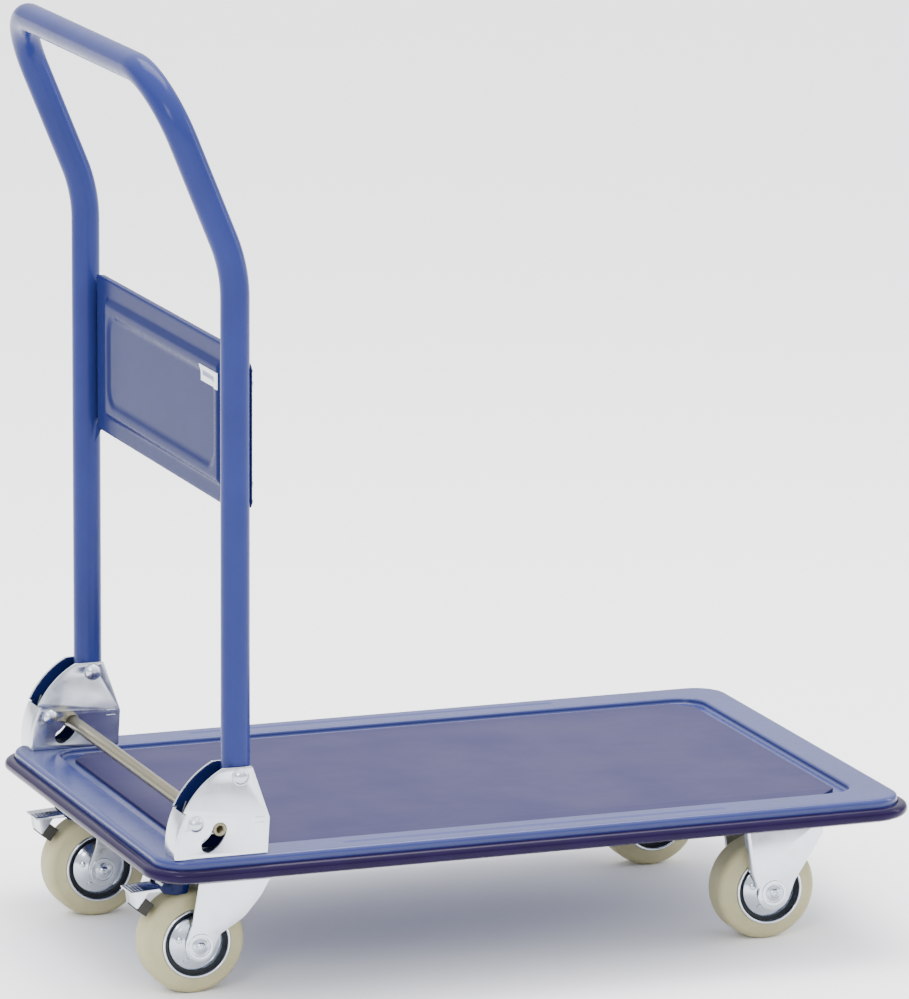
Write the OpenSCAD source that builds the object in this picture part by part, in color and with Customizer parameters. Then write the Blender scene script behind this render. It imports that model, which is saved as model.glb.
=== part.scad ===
// Folding platform cart: pressed steel deck on two fixed and two swivel casters, with a
// tube handle that folds down over the deck when the release bar is pressed.
// Frame: +X from the handle end to the front end, +Z up, origin on the floor at the middle.

/* [Platform] */
// Length over the bumper
deck_l = 772; // [700:1:900]
// Width over the bumper
deck_w = 508; // [480:1:600]
// Height of the rim above the floor
rim_z = 151.5; // [151:0.5:170]
// Depth of the recess for the mat
recess_depth = 6; // [4:0.5:7]
// Width of the raised rim at the two ends
rim_end = 36; // [34:0.5:39]
// Width of the raised rim along the two sides
rim_side = 39.5; // [37:0.5:41]
// Thickness of the deck sheet
sheet_t = 1.6; // [1.2:0.1:2]
// Thickness of the mat
mat_t = 2.8; // [2:0.1:4]
// How far the bumper stands out from the skirt
bumper_out = 10; // [8:0.5:12]
// Height of the bumper
bumper_h = 12; // [11:0.5:14]

/* [Handle] */
// Outside diameter of the handle tube
tube_od = 27; // [25:0.5:28]
// Wall of the handle tube
tube_wall = 1.6; // [1.2:0.1:2.3]
// Distance between the two legs of the handle
leg_spacing = 446; // [440:1:448]
// Pivot to the bend in the leg
bend_up = 476; // [420:1:520]
// Angle at which the grip leans back
lean = 22.3; // [10:0.1:30]
// Bend to the middle of the grip bar
grip_up = 195.5; // [160:0.5:230]
// Radius of the two grip corners
corner_r = 66; // [50:1:80]
// Radius of the bend in the leg
bend_r = 145; // [100:1:180]
// Height of the handle panel
panel_h = 152; // [120:1:180]

/* [Casters] */
// Wheel diameter
wheel_d = 100; // [98:0.5:100]
// Distance between left and right casters
caster_track = 295; // [280:1:310]
// Trail of the swivel casters
trail = 35; // [30:1:38]
// Angle that the brake pedal turns
brake_travel = 7; // [5:0.5:7]

/* [Hidden] */
$fn = 48;

// Running gap at pins and small gap between parts that turn past each other
run = 0.05;
gap = 0.3;
eps = 0.01;

// Deck
pan_l = deck_l - 2 * bumper_out;
pan_w = deck_w - 2 * bumper_out;
pan_corner = 33;
rim_edge = 4.5;
skirt_z = rim_z - 20;
recess_l = pan_l - 2 * rim_end;
recess_w = pan_w - 2 * rim_side;
recess_corner = 27;
floor_z = rim_z - recess_depth;
mat_gap_end = 13;
mat_gap_side = 9.5;
mat_corner = 19;
rib_l = 387;
rib_w = 8;
rib_y = pan_w / 2 - 18.5;
bumper_z = skirt_z - 0.5;
channel_w = 100;
channel_len = 400;
channel_h = 16;
channel_z = floor_z - sheet_t - channel_h;

// Hinge brackets, drawn in their own plane: x from the back foot, z from the rim
bracket_x = 23 - deck_l / 2;
bracket_w = tube_od + 5.6;
cheek_t = 2;
cheek_in = bracket_w / 2 - cheek_t;
back_r = 87;
back_c = [87.2, 7.4];
web_top = 44;
pivot_at = [64.5, 75];
spring_at = [20.5, 33];
release_r = 24.5;
release_rest = -16;
release_turn = 44;
release_od = 12.7;
release_at = spring_at + release_r * [cos(release_rest), sin(release_rest)];
slot_half = release_od / 2 + 0.6;
stop_at = [79, 29];
stop_size = [8.5, 7];
pivot_x = bracket_x + pivot_at[0];
pivot_z = rim_z + pivot_at[1];
pivot_d = 10;
spring_d = 8;
sleeve_d = 14;
foot_down = 41;
leg_y = leg_spacing / 2;

// Handle panel
panel_t = 1.2;
panel_z = pivot_z + 320;
panel_x = 5;
flange_x = tube_od / 2 + 0.1;
flange_h = panel_h - 16;
field_w = 346;
field_h = 117;
field_out = 4;
screw_dz = 94;

// Casters
wheel_r = wheel_d / 2;
axle_z = wheel_r;
axle_d = 10;
caster_y = caster_track / 2;
swivel_x = 102.5 - deck_l / 2;
fixed_x = 650.5 - deck_l / 2;
fixed_plate_dx = 10;
fork_out = 33;
fork_t = 2.5;
plate_l = 104;
plate_w = 86;
plate_t = 3;
plate_z = channel_z - plate_t;
bolt_dx = 80;
bolt_dy = 60;
fixed_bolt_dx = 60;
fixed_bolt_dy = 36;
bolt_d = 8;
crown_z = plate_z - 13;
crown_t = 3;
ball_d = 5;
ball_ring = 26;
ball_count = 20;
kingpin_d = 12;
rim_r = 33.5;

function arc_points(c, r, a0, a1, n) =
    [for (i = [0:n]) c + r * [cos(a0 + (a1 - a0) * i / n), sin(a0 + (a1 - a0) * i / n)]];
function side_sign(side) = side == "left" ? 1 : -1;

// ---------- shared shapes ----------

// Rectangle with round corners, built from squares and circles
module round_rect(l, w, r) {
    square([l, w - 2 * r], center = true);
    square([l - 2 * r, w], center = true);
    for (sx = [-1, 1], sy = [-1, 1])
        translate([sx * (l / 2 - r), sy * (w / 2 - r)]) circle(r);
}

// Sweeps an outline round a rounded rectangle: the outline's x is measured outwards from
// the middle of the corner arc, and its y is the height
module sweep_round(l, w, r) {
    for (a = [0, 180]) rotate(a) {
        translate([l / 2 - r, w / 2 - r, 0]) rotate([90, 0, 0])
            linear_extrude(w - 2 * r) children();
        translate([l / 2 - r, w / 2 - r, 0]) rotate([90, 0, -90])
            mirror([1, 0, 0]) linear_extrude(l - 2 * r) children();
        translate([l / 2 - r, w / 2 - r, 0]) rotate_extrude(angle = 90) children();
        translate([r - l / 2, w / 2 - r, 0]) rotate(90) rotate_extrude(angle = 90) children();
    }
}

// Cylinder along Y, centred on its length
module rod_y(d, len) { rotate([90, 0, 0]) cylinder(d = d, h = len, center = true); }

// Extrudes an x-z outline along Y, centred
module plate_y(t) { rotate([90, 0, 0]) linear_extrude(t, center = true) children(); }

module hex_prism(across, h) { cylinder(d = across / cos(30), h = h, $fn = 6); }

// Low round head whose flat side is at z = 0
module dome_head(d, h) {
    r = (d * d / 4 + h * h) / (2 * h);
    intersection() {
        translate([0, 0, h - r]) sphere(r);
        cylinder(d = d, h = h);
    }
}

// ---------- platform ----------

module pan_edge_outline() {
    r = pan_corner;
    // top sheet, rounded edge, skirt and the lip turned in below
    translate([r - 16, rim_z - sheet_t]) square([16 - rim_edge, sheet_t]);
    translate([r - rim_edge, rim_z - rim_edge]) intersection() {
        difference() {
            circle(rim_edge);
            circle(rim_edge - sheet_t);
        }
        square(rim_edge);
    }
    translate([r - sheet_t, skirt_z]) square([sheet_t, rim_z - rim_edge - skirt_z]);
    translate([r - 14, skirt_z]) square([14, sheet_t]);
}

module rib_slots(grow) {
    for (s = [-1, 1]) translate([0, s * rib_y]) {
        square([rib_l - rib_w, rib_w + 2 * grow], center = true);
        for (e = [-1, 1]) translate([e * (rib_l - rib_w) / 2, 0]) circle(rib_w / 2 + grow);
    }
}

module deck_pan() color("cornflowerblue") difference() {
    union() {
        sweep_round(pan_l, pan_w, pan_corner) pan_edge_outline();
        translate([0, 0, rim_z - sheet_t]) linear_extrude(sheet_t) difference() {
            round_rect(pan_l - 32, pan_w - 32, pan_corner - 16);
            round_rect(recess_l, recess_w, recess_corner);
        }
        translate([0, 0, floor_z - sheet_t]) linear_extrude(recess_depth + sheet_t)
            difference() {
                round_rect(recess_l + 2 * sheet_t, recess_w + 2 * sheet_t,
                    recess_corner + sheet_t);
                round_rect(recess_l, recess_w, recess_corner);
            }
        translate([0, 0, floor_z - sheet_t]) linear_extrude(sheet_t)
            round_rect(recess_l + sheet_t, recess_w + sheet_t, recess_corner);
        translate([0, 0, rim_z - sheet_t - 1]) linear_extrude(1 + eps) rib_slots(sheet_t);
    }
    translate([0, 0, rim_z - 1]) linear_extrude(2) rib_slots(0);
    bracket_screw_places() translate([0, 0, -9]) cylinder(d = 6.4, h = 20);
    swivel_bolt_places() translate([0, 0, -4]) cylinder(d = bolt_d, h = 20);
    fixed_bolt_places() translate([0, 0, -4]) cylinder(d = bolt_d, h = 20);
}

module deck_mat() color("slateblue") {
    l = recess_l / 2 - mat_gap_end;
    w = recess_w / 2 - mat_gap_side;
    c = mat_corner;
    translate([0, 0, floor_z]) linear_extrude(mat_t) polygon([
        [-l + c, -w], [l - c, -w], [l, -w + c], [l, w - c],
        [l - c, w], [-l + c, w], [-l, w - c], [-l, -w + c]
    ]);
}

module bumper() color("indigo") {
    r = pan_corner;
    sweep_round(pan_l, pan_w, pan_corner) {
        translate([r, bumper_z]) square([bumper_out - bumper_h / 2, bumper_h]);
        translate([r + bumper_out - bumper_h / 2, bumper_z + bumper_h / 2])
            intersection() {
                circle(bumper_h / 2);
                translate([0, -bumper_h]) square(2 * bumper_h);
            }
        // lip that hooks under the skirt
        translate([r - 6, bumper_z - 1.5]) square([6 + 3, 2]);
    }
}

// Hat channel across the deck, welded to the recess floor
module cross_channel(x) {
    t = 2;
    translate([x, 0, channel_z]) difference() {
        rotate([90, 0, 0]) linear_extrude(channel_len, center = true) {
            translate([-channel_w / 2, 0]) square([channel_w, t]);
            for (s = [-1, 1]) {
                translate([s * (channel_w - t) / 2 - t / 2, 0]) square([t, channel_h]);
                translate([s * (channel_w / 2 + 6) - 8, channel_h - t]) square([16, t]);
            }
        }
    }
}

module channel_handle_end() color("royalblue") difference() {
    cross_channel(swivel_x);
    swivel_bolt_places() translate([0, 0, -4]) cylinder(d = bolt_d, h = 10);
}

module channel_front_end() color("royalblue") difference() {
    cross_channel(fixed_x + fixed_plate_dx);
    fixed_bolt_places() translate([0, 0, -4]) cylinder(d = bolt_d, h = 10);
}

// ---------- hinge brackets ----------

module cheek_outline() {
    difference() {
        union() {
            intersection() {
                translate(back_c) circle(back_r, $fn = 96);
                square([48, 84.5]);
            }
            polygon([[47, 0], [91, 0], [93, 34.5], [76, 84.5], [47, 84.5]]);
        }
        translate(pivot_at) circle(d = pivot_d);
        translate(spring_at) circle(d = spring_d);
        kidney_slot();
    }
}

// Slot that the release tube runs in, bent round the spring bolt
module kidney_slot() {
    translate(spring_at) {
        intersection() {
            difference() {
                circle(release_r + slot_half);
                circle(release_r - slot_half);
            }
            polygon([[0, 0], 2 * release_r * [cos(release_rest), sin(release_rest)],
                2.6 * release_r * [cos(release_rest - 22), sin(release_rest - 22)],
                2 * release_r * [cos(release_rest - release_turn),
                    sin(release_rest - release_turn)]]);
        }
        for (a = [release_rest, release_rest - release_turn])
            translate(release_r * [cos(a), sin(a)]) circle(slot_half);
    }
}

module back_web_outline() {
    intersection() {
        translate(back_c) difference() {
            circle(back_r, $fn = 96);
            circle(back_r - cheek_t, $fn = 96);
        }
        square([20, web_top]);
    }
}

// The channel is drawn at its own foot and placed on the rim
module at_bracket(side) {
    translate([bracket_x, side_sign(side) * leg_y, rim_z]) children();
}

module hinge_bracket(side) color("silver") at_bracket(side) {
    for (s = [-1, 1]) translate([0, s * (cheek_in + cheek_t / 2), 0])
        plate_y(cheek_t) cheek_outline();
    plate_y(2 * cheek_in) back_web_outline();
    difference() {
        translate([2, -cheek_in, 0]) cube([87, 2 * cheek_in, cheek_t]);
        for (x = [14, 78]) translate([x, 0, -1]) cylinder(d = 6.4, h = 4);
    }
    // block that the leg rests against when the handle stands up
    translate([stop_at[0], -cheek_in, stop_at[1]])
        cube([stop_size[0], 2 * cheek_in, stop_size[1]]);
}

module bracket_screw_places() {
    for (side = ["left", "right"]) at_bracket(side)
        for (x = [14, 78]) translate([x, 0, 0]) children();
}

module bracket_screws() color("silver") bracket_screw_places() {
    translate([0, 0, cheek_t]) dome_head(12, 3);
    translate([0, 0, -9]) cylinder(d = 6, h = 9 + cheek_t);
    translate([0, 0, -sheet_t - 5]) difference() {
        hex_prism(10, 5);
        translate([0, 0, -1]) cylinder(d = 6, h = 7);
    }
}

// Bolt through both cheeks, with a round head outside and a dome nut inside
module cheek_bolt(d, head_d) {
    rod_y(d, bracket_w);
    for (s = [-1, 1]) translate([0, s * bracket_w / 2, 0]) rotate([-s * 90, 0, 0])
        dome_head(head_d, 5);
}

module pivot_bolts() color("gainsboro") for (side = ["left", "right"])
    at_bracket(side) translate([pivot_at[0], 0, pivot_at[1]]) cheek_bolt(pivot_d, 17);

module spring_bolts() color("gainsboro") for (side = ["left", "right"])
    at_bracket(side) translate([spring_at[0], 0, spring_at[1]]) cheek_bolt(spring_d, 16);

// Coils beside the release arm, with a leg on the web and a leg on the tube
module torsion_springs() color("dimgray") for (side = ["left", "right"])
    at_bracket(side) for (s = [-1, 1]) translate([spring_at[0], s * 7.3, spring_at[1]]) {
        rotate([90, 0, 0]) rotate_extrude() for (k = [-1.5:1:1.5])
            translate([6, k * 1.8]) circle(d = 2);
        translate([-6, s * 2.7, -16]) cylinder(d = 1.6, h = 16);
        translate([0, -s * 2.7, -6]) rotate([0, 90, 0]) cylinder(d = 1.6, h = 15.5);
    }

// ---------- release bar ----------

module at_release(side) at_bracket(side)
    translate([release_at[0], 0, release_at[1]]) children();

module release_tube() color("darkkhaki") {
    translate([bracket_x + release_at[0], 0, rim_z + release_at[1]]) difference() {
        rod_y(release_od, leg_spacing + bracket_w + 0.6);
        rod_y(7, leg_spacing + bracket_w + 2);
    }
}

module release_arms() color("darkgray") for (side = ["left", "right"])
    at_bracket(side) plate_y(4) difference() {
        union() {
            translate(spring_at) circle(7.5);
            translate(release_at) circle(8.3);
            translate(spring_at) rotate(release_rest)
                translate([0, -6]) square([release_r, 12]);
        }
        translate(spring_at) circle(d = spring_d + 2 * run);
        translate(release_at) circle(d = release_od);
    }

// ---------- handle ----------

// Bends are a hair thicker than the straight runs, which end a little way inside them
bend_grow = 0.4;
lap = 0.5;
module tube_ring(grow = 0) difference() {
    circle(d = tube_od + grow);
    circle(d = tube_od - 2 * tube_wall - grow);
}

// One leg up to the grip, in the tube's own plane, with holes for the sleeve and screws
module leg_and_corner() {
    t = bend_r * tan(lean / 2);
    difference() {
        translate([0, leg_y, -foot_down]) linear_extrude(foot_down + bend_up - t + lap)
            tube_ring();
        translate([0, leg_y, 0]) rod_y(sleeve_d, tube_od + 2);
        for (k = [-1, 1]) translate([6, leg_y, panel_z - pivot_z + k * screw_dz / 2])
            rotate([0, 90, 0]) cylinder(d = 4, h = 12);
    }
    translate([-bend_r, leg_y, bend_up - t]) rotate([90, 0, 0]) rotate_extrude(angle = lean)
        translate([bend_r, 0]) tube_ring(bend_grow);
    translate([0, leg_y, bend_up]) rotate([0, -lean, 0]) {
        translate([0, 0, t - lap]) linear_extrude(grip_up - corner_r - t + 2 * lap)
            tube_ring();
        translate([0, -corner_r, grip_up - corner_r]) rotate([90, 0, 90])
            rotate_extrude(angle = 90) translate([corner_r, 0]) tube_ring(bend_grow);
    }
}

module handle_tube() color("royalblue") translate([pivot_x, 0, pivot_z]) {
    leg_and_corner();
    mirror([0, 1, 0]) leg_and_corner();
    translate([0, 0, bend_up]) rotate([0, -lean, 0]) translate([0, 0, grip_up])
        rotate([90, 0, 0])
        linear_extrude(leg_spacing - 2 * corner_r + 2 * lap, center = true) tube_ring();
}

module panel_screw_places() {
    for (s = [-1, 1], k = [-1, 1])
        translate([flange_x, s * leg_y, panel_z - pivot_z + k * screw_dz / 2]) children();
}

// Sheet with both ends stepped forward on to the legs and a raised field in the middle
module handle_panel() color("steelblue") translate([pivot_x, 0, 0]) difference() {
    union() {
        translate([0, 0, panel_z]) linear_extrude(panel_h, center = true)
            translate([panel_x, 0]) difference() {
                translate([0, -leg_y + 17.5]) square([panel_t, leg_spacing - 35]);
                translate([-1, -field_w / 2]) square([4, field_w]);
            }
        for (s = [-1, 1]) {
            translate([panel_x, s * (leg_y - 17) - panel_t / 2, panel_z - flange_h / 2])
                cube([flange_x - panel_x + panel_t, panel_t, flange_h]);
            translate([flange_x, s * (leg_y - 5.8) - 11.8, panel_z - flange_h / 2])
                cube([panel_t, 23.6, flange_h]);
            translate([panel_x, -field_w / 2, panel_z + s * (panel_h + field_h) / 4
                - (panel_h - field_h) / 4])
                cube([panel_t, field_w, (panel_h - field_h) / 2]);
        }
        translate([panel_x - field_out, -field_w / 2 - panel_t, panel_z - field_h / 2 - panel_t])
            difference() {
                cube([field_out + panel_t, field_w + 2 * panel_t, field_h + 2 * panel_t]);
                translate([panel_t, panel_t, panel_t])
                    cube([field_out + 1, field_w, field_h]);
            }
    }
    translate([0, 0, pivot_z]) panel_screw_places()
        translate([-1, 0, 0]) rotate([0, 90, 0]) cylinder(d = 4, h = 4);
}

module panel_screws() color("lightsteelblue") translate([pivot_x, 0, pivot_z])
    panel_screw_places() {
        translate([panel_t, 0, 0]) rotate([0, 90, 0]) dome_head(9, 3);
        translate([-6, 0, 0]) rotate([0, 90, 0]) cylinder(d = 4, h = 6 + panel_t);
    }

module label_sticker() color("white")
    translate([pivot_x + panel_x - field_out - 0.3, -169, panel_z + 32])
        cube([0.3, 52, 16]);

module pivot_sleeves() color("gray") translate([pivot_x, 0, pivot_z])
    for (s = [-1, 1]) translate([0, s * leg_y, 0]) difference() {
        rod_y(sleeve_d, tube_od + 0.8);
        rod_y(pivot_d + 2 * run, tube_od + 2);
    }

// ---------- casters ----------

module at_swivel(side) translate([swivel_x, side_sign(side) * caster_y, 0]) children();
module at_fixed(side) translate([fixed_x, side_sign(side) * caster_y, 0]) children();

module swivel_bolt_places() {
    for (s = [-1, 1], i = [-1, 1], j = [-1, 1])
        translate([swivel_x + i * bolt_dx / 2, s * caster_y + j * bolt_dy / 2, channel_z])
            children();
}

module fixed_bolt_places() {
    for (s = [-1, 1], i = [-1, 1], j = [-1, 1])
        translate([fixed_x + fixed_plate_dx + i * fixed_bolt_dx / 2,
            s * caster_y + j * fixed_bolt_dy / 2, channel_z]) children();
}

// Bolt through a stack of the given thickness below the channel, with its nut inside
module caster_bolt(stack) {
    translate([0, 0, -stack - 4]) hex_prism(12, 4);
    translate([0, 0, -stack]) cylinder(d = bolt_d, h = stack + 12);
    translate([0, 0, 2]) difference() {
        hex_prism(13, 6);
        translate([0, 0, -1]) cylinder(d = bolt_d, h = 8);
    }
}

// The bolts of the fixed casters also pass the bridge of the fork
module caster_bolts() color("silver") {
    swivel_bolt_places() caster_bolt(plate_t);
    fixed_bolt_places() caster_bolt(plate_t + fork_t);
}

module top_plate(dx, dy) {
    difference() {
        translate([0, 0, plate_z]) linear_extrude(plate_t) round_rect(plate_l, plate_w, 8);
        for (i = [-1, 1], j = [-1, 1])
            translate([i * dx / 2, j * dy / 2, plate_z - 1])
                cylinder(d = bolt_d, h = plate_t + 2);
    }
}

// Top plate with its pressed cup, the upper race and the kingpin
module swivel_plate(side) color("silver") at_swivel(side) {
    top_plate(bolt_dx, bolt_dy);
    race_z = crown_z + crown_t + 1.5 + ball_d + gap;
    difference() {
        translate([0, 0, race_z]) cylinder(r = 31, h = plate_z - race_z + eps, $fn = 64);
        translate([0, 0, race_z - 1]) cylinder(r = 20, h = plate_z - race_z + 1, $fn = 64);
    }
    translate([0, 0, crown_z - 8]) cylinder(d = kingpin_d, h = plate_z - crown_z + 8 + eps);
    translate([0, 0, crown_z - 7]) cylinder(d = 22, h = 7 - gap);
}

function swivel_leg() = [[-36, crown_z + crown_t], [-43, 72], [-trail - 14.2, axle_z + 8],
    [-trail + 12, axle_z - 7], [-trail + 19, 60], [8, 74.5], [25, 94], [36, crown_z + crown_t]];

module swivel_fork(side) color("gainsboro") at_swivel(side) {
    difference() {
        union() {
            translate([0, 0, crown_z]) linear_extrude(crown_t)
                square([72, 2 * fork_out], center = true);
            for (s = [-1, 1]) translate([0, s * (fork_out - fork_t / 2), 0])
                plate_y(fork_t) {
                    polygon(swivel_leg());
                    translate([-trail, axle_z]) circle(14.5);
                }
            translate([0, 0, crown_z + crown_t - eps]) difference() {
                cylinder(r = 33, h = 1.5 + eps, $fn = 64);
                translate([0, 0, -1]) cylinder(r = 20, h = 4, $fn = 64);
            }
        }
        translate([0, 0, crown_z - 1]) cylinder(d = kingpin_d + 2 * run, h = crown_t + 2);
        translate([-trail, 0, axle_z]) rod_y(axle_d, 2 * fork_out + 2);
    }
}

module race_balls(side) color("lightgray") at_swivel(side)
    for (i = [0:ball_count - 1]) rotate(i * 360 / ball_count)
        translate([ball_ring, 0, crown_z + crown_t + 1.5 + ball_d / 2])
            sphere(d = ball_d, $fn = 24);

// Axle bolt with a flanged head at the near end and a nut at the other
module axle_bolt() {
    rod_y(axle_d, 2 * fork_out);
    translate([0, -fork_out, 0]) rotate([90, 0, 0]) {
        cylinder(d = 15.5, h = 2);
        translate([0, 0, 2]) hex_prism(12, 3);
    }
    translate([0, fork_out, 0]) rotate([-90, 0, 0]) {
        cylinder(d = 15.5, h = 1.6);
        translate([0, 0, 1.6]) hex_prism(12, 6);
    }
}

module swivel_axle(side) color("silver") at_swivel(side)
    translate([-trail, 0, axle_z]) axle_bolt();

// Fixed fork: straight bridge under the plate and two tapered legs with a folded edge
function fixed_leg() = [[-31, plate_z], [-23, 70], [-17.5, axle_z + 4], [15, axle_z - 8],
    [22, 61], [37, 84], [51, 106], [52, plate_z]];

module fixed_fork(side) color("gainsboro") at_fixed(side) {
    translate([fixed_plate_dx, 0, 0]) top_plate(fixed_bolt_dx, fixed_bolt_dy);
    difference() {
        translate([-31, -fork_out, plate_z - fork_t]) cube([83, 2 * fork_out, fork_t + eps]);
        for (i = [-1, 1], j = [-1, 1])
            translate([fixed_plate_dx + i * fixed_bolt_dx / 2, j * fixed_bolt_dy / 2,
                plate_z - 5]) cylinder(d = bolt_d, h = 10);
    }
    for (s = [-1, 1]) {
        translate([0, s * (fork_out - fork_t / 2), 0]) plate_y(fork_t) difference() {
            union() {
                polygon(fixed_leg());
                translate([0, axle_z]) circle(17);
            }
            translate([0, axle_z]) circle(d = axle_d);
        }
        translate([0, s * (fork_out - 4), 0]) plate_y(8) polygon([
            [-31, plate_z], [-23, 70], [-21, 70], [-29, plate_z]
        ]);
    }
}

module fixed_axle(side) color("silver") at_fixed(side)
    translate([0, 0, axle_z]) axle_bolt();

// ---------- wheels ----------

// Outlines below have x as the radius and y as the distance from the wheel's middle
module tyre_outline() {
    shoulder = 8;
    crown = 9.5;
    translate([rim_r, -crown]) square([wheel_r - rim_r, 2 * crown]);
    for (s = [-1, 1]) translate([wheel_r - shoulder, s * crown]) circle(shoulder);
    polygon([[rim_r, -21.5], [wheel_r - shoulder, -crown - shoulder],
        [wheel_r - shoulder, crown + shoulder], [rim_r, 21.5]]);
}

module rim_outline() {
    // outer band, lips and web
    translate([31, -22]) square([rim_r - 31, 44]);
    for (s = [-1, 1]) translate([32.25, s * 22]) circle(d = 2.5, $fn = 24);
    translate([22, -2]) square([10, 4]);
}

module hub_outline() {
    // sleeve, then a dome on each side of the web
    translate([axle_d / 2 + run, -fork_out + fork_t + gap])
        square([4, 2 * (fork_out - fork_t - gap)]);
    for (s = [-1, 1]) scale([1, s]) intersection() {
        translate([0, -18]) circle(45, $fn = 96);
        translate([9, 2]) square([17.5, 24.6]);
    }
    translate([9, -2]) square([13, 4]);
}

module turned_y() { rotate([90, 0, 0]) rotate_extrude($fn = 96) children(); }

module at_wheel(end, side) {
    x = end == "rear" ? swivel_x - trail : fixed_x;
    translate([x, side_sign(side) * caster_y, axle_z]) children();
}

module tyre(end, side) color("wheat") at_wheel(end, side) turned_y() tyre_outline();
module rim(end, side) color("silver") at_wheel(end, side) turned_y() rim_outline();
module hub(end, side) color("lightsteelblue") at_wheel(end, side) turned_y() hub_outline();

// ---------- brakes ----------

// Drawn from the wheel's axle: x along the trail, z above the axle
brake_pin = [-26, 55];
brake_pin_d = 5;
shoe_in = 55.6;
shoe_out = 67;
shoe_a = 142;
shoe_w = 30;

module at_brake(side) at_swivel(side) translate([-trail, 0, axle_z]) children();

module brake_housing(side) color("midnightblue") at_brake(side) {
    top = crown_z - axle_z;
    for (s = [-1, 1]) translate([0, s * 16.2, 0]) plate_y(2) difference() {
        polygon([[-34, 55], [-29, top], [-4, top], [-8, 48.5], [-17, 47.5], [-31, 50]]);
        translate(brake_pin) circle(d = brake_pin_d);
    }
    translate([-23, -17.2, top - 2]) cube([29, 34.4, 2]);
    translate([brake_pin[0], 0, brake_pin[1]]) rod_y(brake_pin_d, 36);
}

module brake_pedal(side) color("silver") at_brake(side) difference() {
    plate_y(shoe_w) {
        translate(brake_pin) circle(d = 9);
        polygon([brake_pin + [-3, -3.5], brake_pin + [-3, 0.5], [-63, 53.5], [-63, 51],
            [-59, 51.2], shoe_out * [cos(shoe_a + 6), sin(shoe_a + 6)],
            shoe_out * [cos(shoe_a - 6), sin(shoe_a - 6)], [-45, 51.4]]);
    }
    translate([brake_pin[0], 0, brake_pin[1]]) rod_y(brake_pin_d + 2 * run, shoe_w + 2);
}

module brake_shoe(side) color("dimgray") at_brake(side) plate_y(shoe_w) polygon(concat(
    arc_points([0, 0], shoe_in, shoe_a - 7, shoe_a + 7, 4),
    [shoe_out * [cos(shoe_a + 6), sin(shoe_a + 6)], shoe_out * [cos(shoe_a - 6), sin(shoe_a - 6)]]));

// ---------- assembly ----------

deck_pan();
deck_mat();
bumper();
channel_handle_end();
channel_front_end();
hinge_bracket("left");  // bracket_left
hinge_bracket("right");  // bracket_right
bracket_screws();
pivot_bolts();
spring_bolts();
torsion_springs();
fixed_fork("left");  // fixed_fork_left
fixed_fork("right");  // fixed_fork_right
fixed_axle("left");  // fixed_axle_left
fixed_axle("right");  // fixed_axle_right
swivel_plate("left");  // swivel_plate_left
swivel_plate("right");  // swivel_plate_right
caster_bolts();
handle_tube();
handle_panel();
panel_screws();
label_sticker();
pivot_sleeves();
release_tube();
release_arms();
swivel_fork("left");  // swivel_fork_left
race_balls("left");  // race_balls_left
swivel_axle("left");  // swivel_axle_left
brake_housing("left");  // brake_housing_left
brake_pedal("left");  // brake_pedal_left
brake_shoe("left");  // brake_shoe_left
swivel_fork("right");  // swivel_fork_right
race_balls("right");  // race_balls_right
swivel_axle("right");  // swivel_axle_right
brake_housing("right");  // brake_housing_right
brake_pedal("right");  // brake_pedal_right
brake_shoe("right");  // brake_shoe_right
tyre("rear", "left");  // tyre_rear_left
rim("rear", "left");  // rim_rear_left
hub("rear", "left");  // hub_rear_left
tyre("rear", "right");  // tyre_rear_right
rim("rear", "right");  // rim_rear_right
hub("rear", "right");  // hub_rear_right
tyre("front", "left");  // tyre_front_left
rim("front", "left");  // rim_front_left
hub("front", "left");  // hub_front_left
tyre("front", "right");  // tyre_front_right
rim("front", "right");  // rim_front_right
hub("front", "right");  // hub_front_right
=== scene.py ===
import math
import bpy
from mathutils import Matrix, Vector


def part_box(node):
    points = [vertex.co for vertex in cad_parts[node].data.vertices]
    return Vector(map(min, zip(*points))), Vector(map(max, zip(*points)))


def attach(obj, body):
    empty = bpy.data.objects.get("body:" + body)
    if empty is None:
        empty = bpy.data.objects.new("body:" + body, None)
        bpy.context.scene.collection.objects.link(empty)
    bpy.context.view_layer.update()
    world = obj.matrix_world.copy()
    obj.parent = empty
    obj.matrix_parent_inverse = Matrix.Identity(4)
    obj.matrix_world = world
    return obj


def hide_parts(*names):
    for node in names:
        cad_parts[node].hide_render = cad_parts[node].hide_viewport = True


bl_info = {
    "name": "Folding Platform Cart",
    "version": (1, 0, 0),
    "blender": (4, 5, 0),
    "location": "View3D > Sidebar > Cart",
    "description": "Builds the visible pieces of a folding cart round its CAD frame",
    "category": "Object",
}

import bmesh
import bpy
from mathutils import Matrix, Vector

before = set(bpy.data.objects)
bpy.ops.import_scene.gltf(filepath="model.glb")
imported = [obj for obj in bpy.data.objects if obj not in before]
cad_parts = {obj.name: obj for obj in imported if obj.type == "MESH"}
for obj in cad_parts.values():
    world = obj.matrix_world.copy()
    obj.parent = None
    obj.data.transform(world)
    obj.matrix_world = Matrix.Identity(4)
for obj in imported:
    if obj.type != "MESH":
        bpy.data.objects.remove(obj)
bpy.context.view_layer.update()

MM = 0.001
SIDES = ("left", "right")
ENDS = ("rear", "front")
DECK_CORNER = 33
# Half spacings of the casters' bolts, along and across the deck
SWIVEL_BOLTS = (40, 30)
FIXED_BOLTS = (30, 18)
# Thickness of the casters' top plates
PLATE = 3
# Turns an outline drawn in x and y upright, so that its y becomes the height
UPRIGHT = Matrix.Rotation(math.radians(90), 4, "X")


# ---------- places taken from the CAD frame, in millimetres ----------


def box_mm(node):
    low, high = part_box(node)
    return low / MM, high / MM


def middle(node):
    low, high = box_mm(node)
    return (low + high) / 2


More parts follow.
